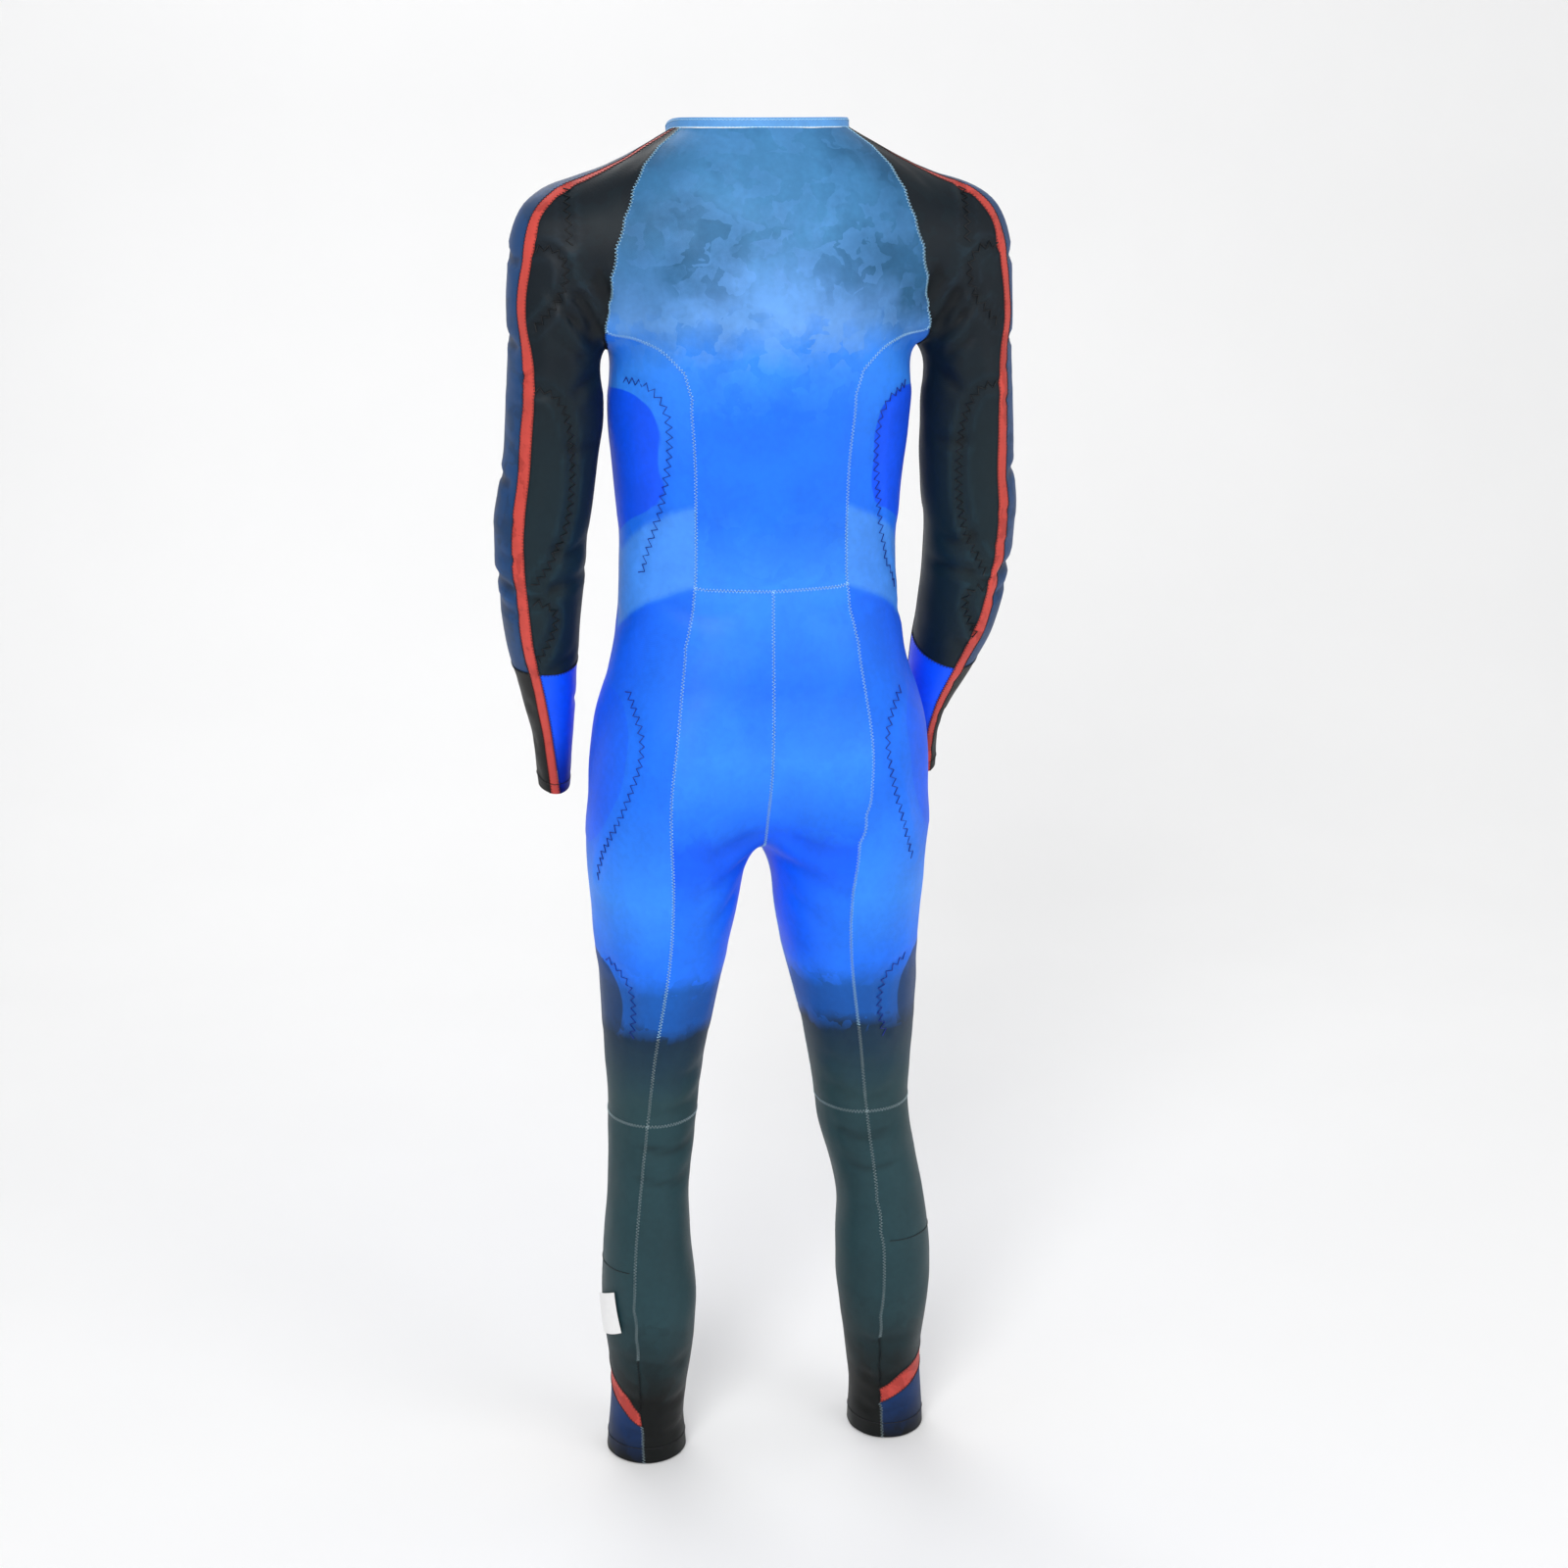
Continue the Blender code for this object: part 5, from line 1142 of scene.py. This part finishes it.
class RACESUIT_OT_label(bpy.types.Operator):
    """Make the bare label on the left calf"""

    bl_idname = "racesuit.label"
    bl_label = "Label"

    def execute(self, context):
        film = merged_node("label")
        leg = Vector(LABEL_LEG)
        hidden = [face for face in film.faces
                  if face.normal.dot((face.calc_center_median() - leg).normalized()) < 0.5]
        bmesh.ops.delete(film, geom=hidden, context="FACES")
        fine = subdivided(joined_skin({"label": film}))
        mesh = thickened(opened(fine), "label_film", FILM, 40)
        mesh.materials.clear()
        mesh.materials.append(label_material())
        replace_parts(placed("label_film", mesh, "label_white"), "label")
        return {"FINISHED"}


class RACESUIT_OT_stage(bpy.types.Operator):
    """Set the pale floor and backdrop, the soft lights and the camera"""

    bl_idname = "racesuit.stage"
    bl_label = "Stage"

    def execute(self, context):
        scene = context.scene
        self.lay_paper()
        for name, spot, aim, size, energy in LAMPS:
            light = bpy.data.lights.new(name, "AREA")
            light.shape = "DISK"
            light.size = size
            light.energy = energy
            self.stand(in_scene(name, light), Vector(spot), Vector(aim) - Vector(spot))
        world = scene.world or bpy.data.worlds.new("studio")
        scene.world = world
        world.use_nodes = True
        sky = world.node_tree.nodes["Background"]
        sky.inputs["Color"].default_value = (1, 1, 1, 1)
        sky.inputs["Strength"].default_value = STUDIO_FILL
        scene.view_settings.view_transform = "Standard"
        camera = bpy.data.cameras.new("camera")
        camera.lens = 60
        camera.sensor_width = 36
        camera.clip_end = 50
        scene.camera = in_scene("camera", camera)
        way = Vector(CAMERA_WAY).normalized()
        self.stand(scene.camera, Vector(CAMERA_AIM) + way * CAMERA_FAR, -way)
        return {"FINISHED"}

    def stand(self, holder, spot, way):
        """Stands a lamp or camera at a spot and turns it to look along a way."""
        holder.location = spot
        holder.rotation_euler = way.to_track_quat("-Z", "Y").to_euler()

    def lay_paper(self):
        """A floor that turns up into a backdrop beyond the suit, as the camera sees it."""
        turns = np.radians(np.arange(0, 91, 9))
        profile = [(PAPER_NEAR, 0.0)]
        profile += [(PAPER_TURN - PAPER_RADIUS * math.sin(turn), PAPER_RADIUS * (1 - math.cos(turn)))
                    for turn in turns]
        profile.append((PAPER_TURN - PAPER_RADIUS, PAPER_TOP))
        spots = [(x, y, FLOOR + rise) for y, rise in profile for x in (-PAPER_HALF, PAPER_HALF)]
        faces = [(k, k + 2, k + 3, k + 1) for k in range(0, len(spots) - 2, 2)]
        mesh = bpy.data.meshes.new("backdrop")
        mesh.from_pydata(spots, [], faces)
        mesh.shade_smooth()
        mesh.materials.append(paper_material())
        in_scene("backdrop", mesh)


PIECES = (RACESUIT_OT_cloth, RACESUIT_OT_collar, RACESUIT_OT_zip, RACESUIT_OT_label, RACESUIT_OT_stage)


class RACESUIT_PT_panel(bpy.types.Panel):
    """Lists the suit's pieces, sizes and colours"""

    bl_idname = "RACESUIT_PT_panel"
    bl_label = "Race suit"
    bl_space_type = "VIEW_3D"
    bl_region_type = "UI"
    bl_category = "Race suit"

    def draw(self, context):
        for piece in PIECES:
            self.layout.operator(piece.bl_idname)
        for group in (context.scene.suit_sizes, context.scene.suit_colours):
            box = self.layout.box()
            for name in group.bl_rna.properties.keys():
                if name not in ("rna_type", "name"):
                    box.prop(group, name)


CLASSES = (SuitSizes, SuitColours, *PIECES, RACESUIT_PT_panel)


def register():
    for item in CLASSES:
        bpy.utils.register_class(item)
    bpy.types.Scene.suit_sizes = bpy.props.PointerProperty(type=SuitSizes)
    bpy.types.Scene.suit_colours = bpy.props.PointerProperty(type=SuitColours)


def unregister():
    del bpy.types.Scene.suit_sizes
    del bpy.types.Scene.suit_colours
    for item in reversed(CLASSES):
        bpy.utils.unregister_class(item)


def main():
    register()
    bpy.ops.racesuit.cloth()
    bpy.ops.racesuit.collar()
    bpy.ops.racesuit.zip()
    bpy.ops.racesuit.label()
    bpy.ops.racesuit.stage()


if __name__ == "__main__":
    main()
